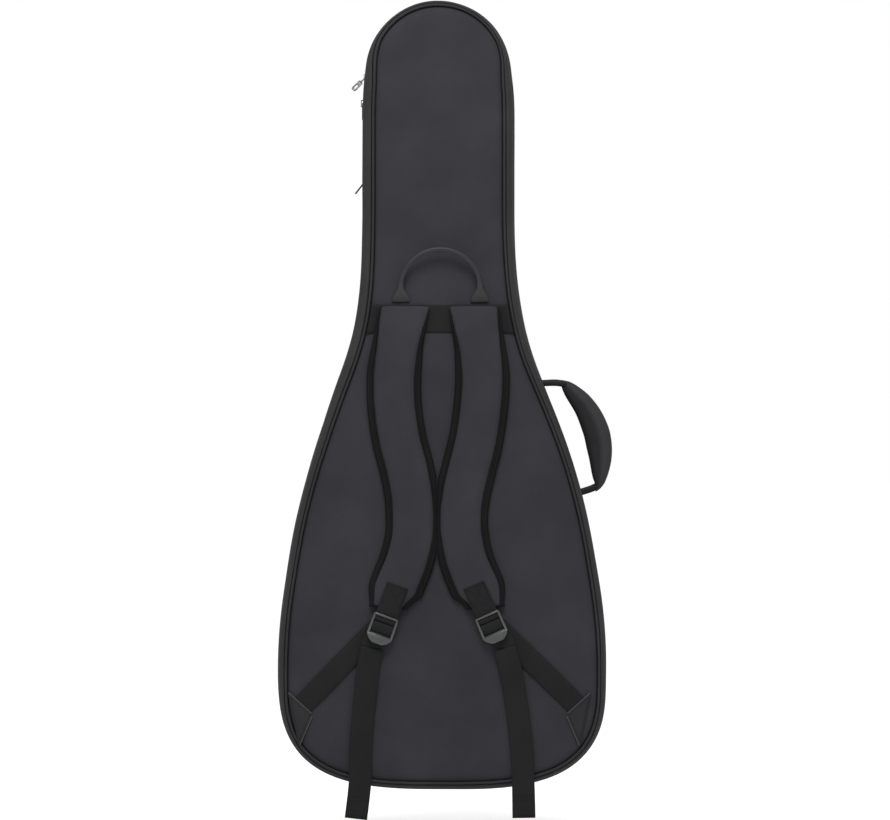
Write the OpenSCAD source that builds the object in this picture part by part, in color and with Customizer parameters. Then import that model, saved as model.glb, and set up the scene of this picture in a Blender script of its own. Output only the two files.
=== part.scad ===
// Padded gig bag for an acoustic guitar, upright, back panel facing -Y, neck up.
// The row origin is the point where the haul loop hangs on a hook.

/* [Bag] */
// Length of the bag from bottom to head
bag_len = 1100; // [900:1:1200]
// Half width of the lower bout
bout_hw = 230; // [200:1:260]
// Half width of the neck part
neck_hw = 106; // [90:1:120]
// Radius of the head end
head_r = 101.6; // [85:0.1:106]
// Depth of the back shell at the bottom
shell_low = 95; // [70:1:120]
// Depth of the back shell at the head
shell_head = 60; // [50:1:90]
// Depth of the lid, the part in front of the zip
lid_d = 35; // [30:1:50]
// Thickness of the foam
foam_t = 10; // [6:0.5:14]

/* [Straps] */
// Width of the webbing
web_w = 30; // [20:1:40]
// Thickness of the webbing
web_t = 1.5; // [1:0.1:3]
// Width of a shoulder strap
strap_w = 64; // [50:1:80]
// Thickness of a shoulder strap
strap_t = 12; // [6:0.5:18]
// Height of the cross band that holds the straps
band_h = 40; // [30:1:60]

/* [Handle] */
// Radius of the haul loop's arch to the middle of the cord
loop_r = 54; // [40:1:70]
// Radius of the haul loop's rolled webbing
loop_cord = 3.5; // [2:0.1:6]
// Depth of the side handle's grip, front to back
grip_d = 30; // [20:1:40]

/* [Zips] */
// Width of a slider
slider_w = 9; // [7:0.5:12]
// Length of a metal puller
puller_len = 23; // [18:1:40]
// Length of the neck pocket's puller
cord_pull_len = 33; // [20:1:45]

/* [Hidden] */
$fn = 48;

skin = 1.5;
tilt = atan((shell_low - shell_head) / bag_len);
loop_y = -5.3;
loop_base = 682;
loop_lean = 10;
loop_h = 69.8;
hang = [0, loop_y - loop_h * sin(loop_lean), loop_base + loop_h * cos(loop_lean)];
hinge_z = [100, 270];
hinge_x = bout_hw + 1.5;

// ---- outline: half width against height, and the same outline moved in by d ----
function bz(a, b, c, d, t) = pow(1 - t, 3) * a + 3 * pow(1 - t, 2) * t * b
  + 3 * (1 - t) * t * t * c + pow(t, 3) * d;
head_end = 7.5;
head_c = bag_len - head_r;
head_p = [head_r * cos(head_end), head_c + head_r * sin(head_end)];
head_d = [sin(head_end), -cos(head_end)];
waist = [143, 572];
waist_d = [sin(21.4), -cos(21.4)];
bout_z = 165;
bout_n = 3.06;
side = concat(
  [for (i = [0:11]) let (a = 90 - i * (90 - head_end) / 11) [head_r * cos(a), head_c + head_r * sin(a)]],
  [for (i = [1:4]) bz(head_p, head_p + head_d * 38, [neck_hw, 975], [neck_hw, 900], i / 4)],
  [for (i = [0:8]) bz([neck_hw, 823], [neck_hw, 686], waist - waist_d * 76, waist, i / 8)],
  [for (i = [1:9]) bz(waist, waist + waist_d * 147, [bout_hw, bout_z + 138], [bout_hw, bout_z], i / 9)],
  [for (i = [1:14]) let (a = i * 90 / 14) [bout_hw * pow(cos(a), 2 / bout_n),
    bout_z - bout_z * pow(sin(a), 2 / bout_n)]]);
last = len(side) - 1;
function flip(p) = [-p[0], p[1]];
function near(i) = i < 0 ? flip(side[1]) : i > last ? flip(side[last - 1]) : side[i];
function unit(v) = v / norm(v);
function out_dir(i) = let (t = unit(near(i + 1) - near(i - 1))) [-t[1], t[0]];
function moved(d) = [for (i = [0:last]) side[i] - out_dir(i) * d];
function outline(d) = let (h = moved(d)) concat(h, [for (i = [last - 1:-1:1]) flip(h[i])]);

// ---- placing ----
module place() translate(-hang) children();
module lid_place() place() translate([0, shell_low, 0]) rotate([tilt, 0, 0]) children();
module upright(y0, y1) translate([0, y1, 0]) rotate([90, 0, 0]) linear_extrude(y1 - y0) children();
module slab(d, y0, y1) upright(y0, y1) polygon(outline(d));
module ring(a, b, y0, y1) upright(y0, y1) difference() {
  polygon(outline(a));
  polygon(outline(b));
}
// everything in front of the plane y = g of the zip
module zip_cut(g) translate([0, shell_low, 0]) rotate([tilt, 0, 0])
  translate([-300, g, -60]) cube([600, 120, 1250]);
// the stretch of the side where the fabric hinge is
module hinge_zone(grow) translate([100, -40, hinge_z[0] - grow])
  cube([200, 90, hinge_z[1] - hinge_z[0] + 2 * grow]);

// ---- back shell ----
fabric_grey = [0.19, 0.19, 0.2];
foam_grey = [0.6, 0.6, 0.62];
web_grey = [0.11, 0.11, 0.11];
metal_grey = [0.7, 0.7, 0.72];
edge_in = 15;
pipe_in = 12;
back_in = skin + foam_t;
module back_panel() color(fabric_grey) place() slab(edge_in, 0, skin);
module back_foam() color(foam_grey) place() slab(pipe_in, skin, back_in);
module back_lining() color(foam_grey) place() slab(10, back_in, back_in + 1);
module back_piping() color(web_grey) place() ring(pipe_in, edge_in, -1.5, skin);
module back_gusset() color(fabric_grey) place() difference() {
  union() {
    ring(0, 2, back_in - 1, shell_low);
    ring(1.9, 5, 2, back_in);
    ring(4, pipe_in, 0, 2);
  }
  zip_cut(-8);
}
module gusset_foam() color(foam_grey) place() difference() {
  union() {
    ring(2, 10, back_in, shell_low);
    ring(5, pipe_in, 2, back_in);
  }
  zip_cut(-8);
}
module gusset_lining() color(foam_grey) place() difference() {
  ring(10, 11, back_in + 1, shell_low);
  zip_cut(-8);
}
module back_binding() color(web_grey) place() ring(11, 12.5, back_in + 1, back_in + 5);
module zip_tape(y0, y1) difference() {
  ring(2.2, 3, y0, y1);
  hinge_zone(4);
}
module zip_coil(y0, y1) difference() {
  ring(1, 3.5, y0, y1);
  hinge_zone(4);
}
module zip_tape_back() color(web_grey) lid_place() zip_tape(-8, -3.2);
module zip_coil_back() color(web_grey) lid_place() zip_coil(-3.2, -1.2);
module hinge_fabric() color(fabric_grey) lid_place() intersection() {
  union() {
    ring(-1.5, -0.3, -14, -0.5);
    ring(-0.31, 3, -8, -0.5);
  }
  hinge_zone(0);
}
// the pair of stops at the two ends of the main zip
module zip_stops() color(metal_grey) lid_place() for (s = [hinge_z[0] - 6.5, hinge_z[1] + 4.5]) intersection() {
  ring(-0.6, 0.9, -3.2, -0.4);
  translate([100, -10, s]) cube([200, 20, 3]);
}

// ---- back panel webbing ----
band_z = 637;
module band_shape(z0, z1, d) intersection() {
  polygon(outline(d));
  translate([-300, z0]) square([600, z1 - z0]);
}
module cross_band() color(web_grey) place() upright(-web_t, 0) band_shape(band_z, band_z + band_h, edge_in);
// a triangle sewn into the side seam at a lower corner
tab_a = [211, 134];
tab_b = [178, 104];
tab_c = [196, 62];
module corner_tab(s) color(fabric_grey) place() upright(-3.2, -web_t - 0.01)
  polygon([for (p = [tab_a, tab_b, tab_c]) [s * p[0], p[1]]]);
module corner_tab_left() corner_tab(-1);
module corner_tab_right() corner_tab(1);

// ---- inside ----
cradle_z = 820;
module neck_cradle() color(foam_grey) place() translate([0, 0, cradle_z]) difference() {
  translate([-92, back_in + 1, 0]) cube([184, 34, 60]);
  translate([0, 58, -1]) cylinder(r = 34, h = 62);
}
module neck_strap_hook() color(web_grey) place() translate([-92, 50, cradle_z + 12]) cube([112, 1.5, 38]);
module neck_strap_loop() color(web_grey) place() translate([-18, 51.8, cradle_z + 12]) cube([112, 1.5, 38]);
module bumper_pad() color(foam_grey) place() intersection() {
  translate([-70, 30, 5]) cube([140, 45, 24]);
  slab(11.2, 20, 90);
}

// ---- lid: the front panel, its side wall and its half of the zip ----
lid_in = lid_d - skin - foam_t;
module front_panel() color(fabric_grey) lid_place() slab(edge_in, lid_d - skin, lid_d);
module front_foam() color(foam_grey) lid_place() slab(pipe_in, lid_in, lid_d - skin);
module front_lining() color(foam_grey) lid_place() slab(10, lid_in - 1, lid_in);
module front_piping() color(web_grey) lid_place() ring(pipe_in, edge_in, lid_d - skin, lid_d);
module front_gusset() color(fabric_grey) lid_place() {
  ring(0, 2, 8, lid_in + 1);
  ring(1.9, 5, lid_in, lid_d - 2);
  ring(4, pipe_in, lid_d - 2, lid_d);
  intersection() {
    ring(0, 3, 0.5, 8.01);
    hinge_zone(0);
  }
}
module front_gusset_foam() color(foam_grey) lid_place() {
  ring(3, 10, 8.1, lid_in);
  ring(5, pipe_in, lid_in, lid_d - 2);
}
module front_binding() color(web_grey) lid_place() ring(10, 11.5, lid_in - 5, lid_in - 1);
module zip_tape_front() color(web_grey) lid_place() zip_tape(3.2, 8);
module zip_coil_front() color(web_grey) lid_place() zip_coil(1.2, 3.2);

// ---- pocket on the lower bout ----
pocket_d = 26;
pocket_in = 26;
pocket_top = 470;
slot_x = 150;
module pocket_shape(d, top) intersection() {
  polygon(outline(d));
  translate([-300, -10]) square([600, top + 10]);
}
module pocket_panel() color(fabric_grey) lid_place()
  upright(lid_d + pocket_d, lid_d + pocket_d + skin) pocket_shape(pocket_in, pocket_top);
module pocket_gusset() color(fabric_grey) lid_place() difference() {
  upright(lid_d, lid_d + pocket_d) difference() {
    pocket_shape(pocket_in, pocket_top);
    pocket_shape(pocket_in + 2, pocket_top - 2);
  }
  translate([-slot_x, lid_d + 6, pocket_top - 5]) cube([2 * slot_x, 14, 10]);
}
// tapes and coils of a straight zip, across y, along z, facing +X
module straight_zip(l) for (s = [-1, 1]) {
  translate([-2, s > 0 ? 3.2 : -7, 0]) cube([0.8, 3.8, l]);
  translate([-2.6, s > 0 ? 1.2 : -3.2, 0]) cube([2, 2, l]);
}
pocket_zip_at = [0, lid_d + 13, pocket_top];
module pocket_zip() color(web_grey) lid_place() translate(pocket_zip_at) rotate([0, -90, 0])
  translate([0, 0, -slot_x]) straight_zip(2 * slot_x);

// ---- pocket on the neck, its zip in the left side wall ----
npk_hw = 94;
npk_z = [600, 890];
npk_d = 18;
npk_slot = [626, 872];
module npk_shape(d) translate([0, (npk_z[0] + npk_z[1]) / 2]) for (s = [0, 1])
  square([2 * (npk_hw - d - 16 * s), npk_z[1] - npk_z[0] - 2 * d - 32 * (1 - s)], center = true);
module npk_round(d) union() {
  npk_shape(d);
  for (x = [-1, 1], z = [npk_z[0] + d + 16, npk_z[1] - d - 16]) translate([x * (npk_hw - d - 16), z])
    circle(r = 16);
}
module neck_pocket_panel() color(fabric_grey) lid_place()
  upright(lid_d + npk_d, lid_d + npk_d + skin) npk_round(0);
module neck_pocket_gusset() color(fabric_grey) lid_place() difference() {
  upright(lid_d, lid_d + npk_d) difference() {
    npk_round(0);
    npk_round(2);
  }
  translate([-npk_hw - 5, lid_d + 2, npk_slot[0]]) cube([10, 14, npk_slot[1] - npk_slot[0]]);
}
npk_zip_at = [-npk_hw, lid_d + 9, 0];
module neck_pocket_zip() color(web_grey) lid_place() translate(npk_zip_at + [0, 0, npk_slot[0]])
  rotate([0, 0, 180]) straight_zip(npk_slot[1] - npk_slot[0]);

// ---- sliders and pullers: zip along z, outside towards +X ----
bridge_x = 2.9;
module slider() {
  translate([0.5, 0, 0]) rotate([0, 90, 0]) linear_extrude(1.5) slider_plate();
  translate([-6.1, 0, 0]) rotate([0, 90, 0]) linear_extrude(1.5) slider_plate();
  translate([-4.8, -0.6, 1.5]) cube([5.5, 1.2, 4]);
  difference() {
    translate([1.9, -1.2, -5]) cube([3.2, 2.4, 10]);
    translate([1.8, -2, -3.6]) cube([2.2, 4, 7.2]);
  }
}
// plate seen along x, with its length on the first axis
module slider_plate() polygon([[-7, -slider_w / 2], [-7, slider_w / 2], [0, slider_w / 2],
  [6, slider_w / 3], [7, 1.5], [7, -1.5], [6, -slider_w / 3], [0, -slider_w / 2]]);
// puller of length l, turned out by a from hanging straight down
module puller(a, l) translate([bridge_x, 0, 0]) rotate([0, -a, 0]) {
  rotate([90, 0, 0]) cylinder(r = 0.7, h = 6.4, center = true);
  for (s = [-1, 1]) translate([-0.7, s > 0 ? 1.8 : -3.2, -8]) cube([1.4, 1.4, 8]);
  difference() {
    translate([-0.7, -3.5, -l]) cube([1.4, 7, l - 7]);
    translate([-2, -1.6, 3.5 - l]) cube([4, 3.2, l - 13]);
  }
}
// the upper slider runs round the head, so its path is an arc about the head's centre
module main_at(z, x) lid_place() translate([-x, 0, z]) mirror([1, 0, 0]) children();
upper_at = [head_c, head_r + 0.3];
lower_at = [962, neck_hw - 0.3];
module main_slider_upper() color(metal_grey) main_at(upper_at[0], upper_at[1]) slider();
module main_puller_upper() color(metal_grey) main_at(upper_at[0], upper_at[1]) puller(45, puller_len);
module main_slider_lower() color(metal_grey) main_at(lower_at[0], lower_at[1]) mirror([0, 0, 1]) slider();
module main_puller_lower() color(metal_grey) main_at(lower_at[0], lower_at[1]) puller(0, puller_len);
neck_slider_z = 864;
module neck_at() lid_place() translate(npk_zip_at + [0, 0, neck_slider_z]) mirror([1, 0, 0]) children();
module neck_slider() color(metal_grey) neck_at() slider();
module neck_puller() color(web_grey) neck_at() puller(35, cord_pull_len);
pocket_slider_x = 130;
module pocket_at() lid_place() translate(pocket_zip_at + [pocket_slider_x, 0, 0]) rotate([0, -90, 0])
  children();
module pocket_slider() color(metal_grey) pocket_at() slider();
module pocket_puller() color(metal_grey) pocket_at() puller(0, puller_len);

// ---- haul loop, leaning a little off the panel ----
loop_leg = loop_h - loop_r + loop_cord;
module haul_loop() color(web_grey) place() translate([0, loop_y, loop_base]) rotate([loop_lean, 0, 0]) {
  translate([0, 0, loop_leg]) rotate([90, 0, 0]) rotate_extrude(angle = 180) translate([loop_r, 0])
    circle(r = loop_cord);
  for (s = [-1, 1]) {
    translate([s * loop_r, 0, 6]) cylinder(r = loop_cord, h = loop_leg - 6);
    translate([s * loop_r - 13, -1, -1.5]) cube([26, 2, 20]);
  }
}

// ---- shoulder straps: middle line as [x, z], from the band down ----
// the two lie a little differently, so each has its own line, with x measured outwards
mid_left = [[48, 677], [53.5, 650], [59.5, 613], [63.5, 576], [62.5, 534], [56, 489], [46, 450],
  [39, 413], [37, 380], [38.5, 350], [46.5, 318], [58, 288], [70, 257]];
mid_right = [[48, 677], [51.5, 650], [57, 613], [60, 576], [57.5, 534], [51, 489], [41.5, 450],
  [33, 413], [29.5, 380], [31.5, 350], [38.5, 318], [50.5, 288], [63, 257]];
smax = len(mid_left) - 1;
function cr(m, i, t) = let (p0 = m[max(i - 1, 0)], p1 = m[i], p2 = m[i + 1], p3 = m[min(i + 2, smax)])
  0.5 * (2 * p1 + t * (p2 - p0) + t * t * (2 * p0 - 5 * p1 + 4 * p2 - p3)
  + t * t * t * (3 * p1 - 3 * p2 + p3 - p0));
function strap_line(m) = concat([for (i = [0:smax - 1], k = [0:2]) cr(m, i, k / 3)], [m[smax]]);
function strap_edge(l, s) = let (n = len(l) - 1) [for (i = [0:n])
  let (d = i == 0 ? [0, -1] : unit(l[min(i + 1, n)] - l[i - 1])) l[i] + s * strap_w / 2 * [-d[1], d[0]]];
strap_back = -3.4;
module strap(s, l) color(fabric_grey) place() upright(strap_back - strap_t, strap_back)
  polygon([for (p = concat(strap_edge(l, 1), [for (i = [len(l) - 1:-1:0]) strap_edge(l, -1)[i]]))
    [s * p[0], p[1]]]);
module strap_left() strap(-1, strap_line(mid_left));
module strap_right() strap(1, strap_line(mid_right));

// ---- ladder locks: the bar that the strap's webbing turns round is on the hinge ----
bar_left = [76, 236];
bar_right = [68.5, 238];
turn_left = 20;
turn_right = 23.5;
lock_y = -11;
lock_w = 37;
bar_r = 1.5;
// lock frame: x across, z along the strap, at the bar
module lock_place(s) {
  at = s < 0 ? bar_left : bar_right;
  place() translate([s * at[0], lock_y, at[1]]) rotate([0, -s * (s < 0 ? turn_left : turn_right), 0]) children();
}
module lock_body() {
  difference() {
    upright(-2, 1.5) polygon([[-lock_w / 2, -22], [-lock_w / 2 + 1.5, 5], [lock_w / 2 - 1.5, 5],
      [lock_w / 2, -22], [12, -32], [5, -36.5], [-5, -36.5], [-12, -32]]);
    translate([-15.7, -10, -19.5]) cube([31.4, 20, 30]);
  }
  rotate([0, 90, 0]) cylinder(r = bar_r, h = 32, center = true);
  for (z = [-9.5, -17]) translate([-16, -1.6, z - 2]) cube([32, 2.6, 4]);
  translate([-5, -3.5, -36.4]) cube([10, 2, 3]);
}
module ladder_lock_left() color(web_grey) lock_place(-1) lock_body();
module ladder_lock_right() color(web_grey) lock_place(1) lock_body();
// webbing sewn to the strap, turned round the lock's bar
loop_in = bar_r + 0.3;
patch_y = strap_back - strap_t - lock_y - web_t;
module strap_web(s) color(web_grey) lock_place(s) {
  difference() {
    rotate([0, 90, 0]) cylinder(r = loop_in + web_t, h = web_w, center = true);
    rotate([0, 90, 0]) cylinder(r = loop_in, h = web_w + 2, center = true);
    translate([-20, -loop_in, 0]) cube([40, 2 * loop_in, 10]);
  }
  translate([-web_w / 2, -loop_in - web_t, 0]) cube([web_w, web_t, 12]);
  translate([-web_w / 2, patch_y, 10.5]) cube([web_w, web_t, 41.5]);
  translate([-web_w / 2, patch_y, 10.5]) cube([web_w, -loop_in - patch_y, web_t]);
}
module strap_web_left() strap_web(-1);
module strap_web_right() strap_web(1);

// ---- lower webbing from the corner tab to the lock, and its free end hanging down ----
web_from = [185, 124];
module flat_strip(a, b, w) {
  d = unit(b - a);
  n = [-d[1], d[0]] * w / 2;
  polygon([a + n, b + n, b - n, a - n]);
}
module lower_web(s) color(web_grey) place() upright(-5, -5 + web_t) mirror([s < 0 ? 1 : 0, 0])
  flat_strip(web_from, (s < 0 ? bar_left : bar_right) + [0.5, 0], web_w);
module lower_web_left() lower_web(-1);
module lower_web_right() lower_web(1);
tail_l = [[-94, 198], [-101, 176], [-107, 124], [-112, 70], [-114, 10], [-119, -41]];
tail_r = [[90.5, 198], [96, 176], [103, 140], [109, 94], [114, 40], [117, -40]];
module tail(p) color(web_grey) place() upright(-8, -8 + web_t) polygon(concat(
  [for (q = p) q - [web_w / 2, 0]], [for (i = [len(p) - 1:-1:0]) p[i] + [web_w / 2, 0]]));
module tail_left() tail(tail_l);
module tail_right() tail(tail_r);

// ---- side handle on the right: two webbing stubs sewn to the side, and the wrapped grip ----
grip_y = [30, 30 + grip_d];
grip_mid = grip_y[0] + grip_d / 2;
stub_hw = 10;
outer_c = [[172, 567], [193, 561], [211, 547], [227, 524], [236, 503], [240, 480], [238, 453],
  [232, 430], [225, 419]];
inner_c = [[218, 424], [214, 438], [208, 471], [201, 499], [190, 527], [175, 553], [171, 563]];
module side_grip() color(fabric_grey) place() {
  upright(grip_y[0], grip_y[1]) polygon(concat(outer_c, inner_c));
  upright(grip_mid - stub_hw, grip_mid + stub_hw) {
    polygon([[164, 569.5], [164, 564], [171.5, 563], [172, 567]]);
    polygon([[212, 420], [213.2, 415], [225, 419], [218, 424]]);
  }
}
module side_handle_web() color(web_grey) place() upright(grip_mid - stub_hw, grip_mid + stub_hw) {
  polygon([[145, 572], [147.2, 565], [157.5, 564.5], [157.5, 570]]);
  polygon([[196, 417], [197.6, 411.2], [207, 413.5], [205.8, 418.5]]);
}

back_panel();
back_foam();
back_lining();
back_piping();
back_gusset();
gusset_foam();
gusset_lining();
back_binding();
zip_tape_back();
zip_coil_back();
hinge_fabric();
zip_stops();
cross_band();
corner_tab_left();
corner_tab_right();
neck_cradle();
neck_strap_hook();
neck_strap_loop();
bumper_pad();
front_panel();
front_foam();
front_lining();
front_piping();
front_gusset();
front_gusset_foam();
front_binding();
zip_tape_front();
zip_coil_front();
pocket_panel();
pocket_gusset();
pocket_zip();
neck_pocket_panel();
neck_pocket_gusset();
neck_pocket_zip();
main_slider_upper();
main_puller_upper();
main_slider_lower();
main_puller_lower();
pocket_slider();
pocket_puller();
neck_slider();
neck_puller();
haul_loop();
strap_left();
strap_right();
strap_web_left();
strap_web_right();
ladder_lock_left();
ladder_lock_right();
lower_web_left();
lower_web_right();
tail_left();
tail_right();
side_grip();
side_handle_web();
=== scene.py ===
"""Padded gig bag: the soft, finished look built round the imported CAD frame.

Local frame of the bag, in metres: x across, y depth (0 = outer face of the back panel, + towards the lid),
z up from the bag's bottom. The lid frame has y = 0 on the zip's plane. Everything is moved to the row frame
when its mesh is made.
"""
import math
import bmesh
import bpy
import numpy as np
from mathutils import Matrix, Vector, noise


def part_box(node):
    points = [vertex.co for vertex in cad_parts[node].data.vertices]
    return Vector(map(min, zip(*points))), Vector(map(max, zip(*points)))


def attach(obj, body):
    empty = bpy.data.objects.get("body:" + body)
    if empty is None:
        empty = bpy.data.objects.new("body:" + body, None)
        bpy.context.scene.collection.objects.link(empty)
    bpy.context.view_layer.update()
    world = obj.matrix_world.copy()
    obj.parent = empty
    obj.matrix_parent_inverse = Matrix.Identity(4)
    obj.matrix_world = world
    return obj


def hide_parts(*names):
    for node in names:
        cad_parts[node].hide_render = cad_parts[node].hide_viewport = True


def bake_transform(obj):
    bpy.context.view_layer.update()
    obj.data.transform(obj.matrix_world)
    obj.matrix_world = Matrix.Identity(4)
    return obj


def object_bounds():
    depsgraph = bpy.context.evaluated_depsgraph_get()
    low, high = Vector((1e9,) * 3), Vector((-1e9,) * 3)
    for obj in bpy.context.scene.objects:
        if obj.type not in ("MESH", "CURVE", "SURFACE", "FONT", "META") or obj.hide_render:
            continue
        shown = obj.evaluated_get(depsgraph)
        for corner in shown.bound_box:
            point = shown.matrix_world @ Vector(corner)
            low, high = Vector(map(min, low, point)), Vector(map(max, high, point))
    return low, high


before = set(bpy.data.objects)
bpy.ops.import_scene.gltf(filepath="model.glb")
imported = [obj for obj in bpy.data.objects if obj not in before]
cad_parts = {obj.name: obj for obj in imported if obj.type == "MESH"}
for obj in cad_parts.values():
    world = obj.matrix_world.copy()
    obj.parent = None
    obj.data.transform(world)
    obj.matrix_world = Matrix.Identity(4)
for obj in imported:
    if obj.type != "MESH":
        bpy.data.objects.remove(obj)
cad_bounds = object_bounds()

MM = 0.001
scene = bpy.context.scene
# without a seed of its own the noise changes from run to run
noise.seed_set(1)

# ---------------------------------------------------------------- the frame's own sizes
panel_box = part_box("back_panel")
gusset_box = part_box("back_gusset")
SHIFT = np.array([0.0, panel_box[0][1], gusset_box[0][2]])
BAG_LEN = gusset_box[1][2] - gusset_box[0][2]
BOUT_HW = gusset_box[1][0]
SHELL_LOW = 0.095
SHELL_HEAD = 0.060
LID_D = 0.035
TILT = math.atan((SHELL_LOW - SHELL_HEAD) / BAG_LEN)
BAND_Z = (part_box("cross_band")[0][2] - SHIFT[2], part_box("cross_band")[1][2] - SHIFT[2])
HINGE_Z = (0.100, 0.270)
WEB_W = 0.030


def row(p):
    """Local points to the row frame."""
    return np.asarray(p, float) + SHIFT


def lid(p):
    """Lid-frame points to the local frame."""
    p = np.asarray(p, float)
    c, s = math.cos(TILT), math.sin(TILT)
    return np.stack([p[..., 0], SHELL_LOW + p[..., 1] * c - p[..., 2] * s,
                     p[..., 1] * s + p[..., 2] * c], -1)


def zip_y(z):
    """Depth of the zip's plane at height z."""
    return SHELL_LOW - z * math.tan(TILT)


def smooth(a, b, x):
    t = np.clip((np.asarray(x, float) - a) / (b - a), 0, 1)
    return t * t * (3 - 2 * t)


# ---------------------------------------------------------------- materials
def mat(name, colour, rough=0.85, weave=0.0, pitch=0.0011, mottle=0.12, bump=0.25, metallic=0.0,
        ior=1.45, fleck=0.0, gloss=0.08):
    """Procedural material. weave: strength of a plain weave; mottle, fleck: large and small unevenness."""
    m = bpy.data.materials.new(name)
    m.use_nodes = True
    nodes, link = m.node_tree.nodes, m.node_tree.links.new
    shader = nodes["Principled BSDF"]
    surface = {"Roughness": rough, "Metallic": metallic, "IOR": ior, "Specular IOR Level": gloss}
    for key, value in surface.items():
        shader.inputs[key].default_value = value
    place = nodes.new("ShaderNodeTexCoord")

    def maths(operation, first, second=None):
        k = nodes.new("ShaderNodeMath")
        k.operation = operation
        link(first, k.inputs[0])
        if isinstance(second, float):
            k.inputs[1].default_value = second
        elif second is not None:
            link(second, k.inputs[1])
        return k.outputs[0]

    def cloud(size, detail):
        k = nodes.new("ShaderNodeTexNoise")
        k.inputs["Scale"].default_value = size
        k.inputs["Detail"].default_value = detail
        link(place.outputs["Object"], k.inputs["Vector"])
        return k.outputs["Fac"]

    def spread(value, low, high, amount):
        """Values from low to high become factors from 1 - amount to 1 + amount."""
        k = nodes.new("ShaderNodeMapRange")
        for key, v in (("From Min", low), ("From Max", high), ("To Min", 1 - amount), ("To Max", 1 + amount)):
            k.inputs[key].default_value = v
        link(value, k.inputs["Value"])
        return k.outputs["Result"]

    value = spread(cloud(14.0, 5.0), 0.3, 0.7, mottle)
    fine = cloud(900.0, 3.0)
    height = fine
    if weave > 0:
        where, normal = nodes.new("ShaderNodeSeparateXYZ"), nodes.new("ShaderNodeSeparateXYZ")
        link(place.outputs["Object"], where.inputs[0])
        link(place.outputs["Normal"], normal.inputs[0])
        wave = [maths("SINE", maths("MULTIPLY", where.outputs[i], 2 * math.pi / pitch)) for i in range(3)]
        share = [maths("MULTIPLY", normal.outputs[i], normal.outputs[i]) for i in range(3)]
        pairs = [maths("MULTIPLY", maths("MULTIPLY", wave[i - 2], wave[i - 1]), share[i]) for i in range(3)]
        threads = maths("ADD", maths("ADD", pairs[0], pairs[1]), pairs[2])
        value = maths("MULTIPLY", value, spread(threads, -1.0, 1.0, weave))
        height = maths("ADD", threads, fine)
    if fleck > 0:
        value = maths("MULTIPLY", value, spread(fine, 0.3, 0.7, fleck))
    tone = nodes.new("ShaderNodeVectorMath")
    tone.operation = "SCALE"
    tone.inputs[0].default_value = colour
    link(value, tone.inputs["Scale"])
    link(tone.outputs[0], shader.inputs["Base Color"])
    if bump > 0:
        relief = nodes.new("ShaderNodeBump")
        relief.inputs["Strength"].default_value = bump
        relief.inputs["Distance"].default_value = 0.0003
        link(height, relief.inputs["Height"])
        link(relief.outputs["Normal"], shader.inputs["Normal"])
    return m


PANEL = mat("panel_cloth", (0.0180, 0.0176, 0.0206), 0.8, weave=0.10, fleck=0.08)
GUSSET = mat("gusset_cloth", (0.0189, 0.0189, 0.0196), 0.8, weave=0.12, fleck=0.10)
PIPING = mat("piping_cloth", (0.0162, 0.0162, 0.0173), 0.7, weave=0.10, fleck=0.1)
WEBBING = mat("webbing", (0.0075, 0.0076, 0.0077), 0.75, weave=0.30, pitch=0.0022, fleck=0.15, bump=0.5)
LOOP_WEB = mat("loop_webbing", (0.0119, 0.0119, 0.0132), 0.5, weave=0.25, pitch=0.0018, fleck=0.15, bump=0.5,
               gloss=0.3)
STRAP = mat("strap_cloth", (0.0182, 0.0180, 0.0210), 0.8, weave=0.10, fleck=0.08)
# very dark: the straps' binding and mesh underside, also used as painted shade and shadow along the strap
# sides
EDGE_AND_SIDE_SHADE = mat("strap_edging_and_side_shade", (0.0046, 0.0046, 0.0048), 0.85, weave=0.2, pitch=0.0016, fleck=0.2)
TAB = mat("tab_cloth", (0.0144, 0.0144, 0.0153), 0.8, weave=0.12, fleck=0.10)
# light tone of the corner tabs' folded edges: painted highlight
FOLD_HIGHLIGHT = mat("tab_fold_highlight", (0.0400, 0.0400, 0.0420), 0.8, mottle=0.1, bump=0)
# dark thread; the same colour is also painted crease shade in the rings beside the piping
THREAD_AND_CREASE_SHADE = mat("thread", (0.0040, 0.0040, 0.0042), 0.8, mottle=0.05, bump=0)
TAPE = mat("zip_tape", (0.0080, 0.0080, 0.0084), 0.85, weave=0.2, pitch=0.0014)
COIL = mat("zip_coil", (0.0080, 0.0080, 0.0084), 0.45, bump=0, gloss=0.5)
PULL_METAL = mat("puller_metal", (0.13, 0.13, 0.135), 0.5, mottle=0.05, bump=0, metallic=1.0)
METAL = mat("zip_metal", (0.42, 0.42, 0.43), 0.32, mottle=0.05, bump=0, metallic=1.0)
BLACK_METAL = mat("zip_dark", (0.05, 0.05, 0.052), 0.35, mottle=0.05, bump=0, metallic=1.0)
PLASTIC = mat("lock_plastic", (0.0225, 0.0232, 0.0240), 0.3, mottle=0.05, bump=0.05, ior=1.5, gloss=0.5)
LINING = mat("lining", (0.0500, 0.0500, 0.0560), 0.95, weave=0.08, pitch=0.0016, fleck=0.2)
# the side grip's cloth in three tones, darker in steps towards its inner side
GRIP_OUT = mat("grip_cloth", (0.0197, 0.0197, 0.0214), 0.75, weave=0.10, fleck=0.1)
GRIP_MID_TONE = mat("grip_mid_tone", (0.0152, 0.0152, 0.0162), 0.78, weave=0.15, fleck=0.1)
GRIP_INNER_TONE = mat("grip_inner_tone", (0.0109, 0.0109, 0.0113), 0.8, weave=0.2, pitch=0.0016, fleck=0.12)
FLOOR = mat("floor", (0.92, 0.92, 0.92), 0.9, mottle=0.0, bump=0)


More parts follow.
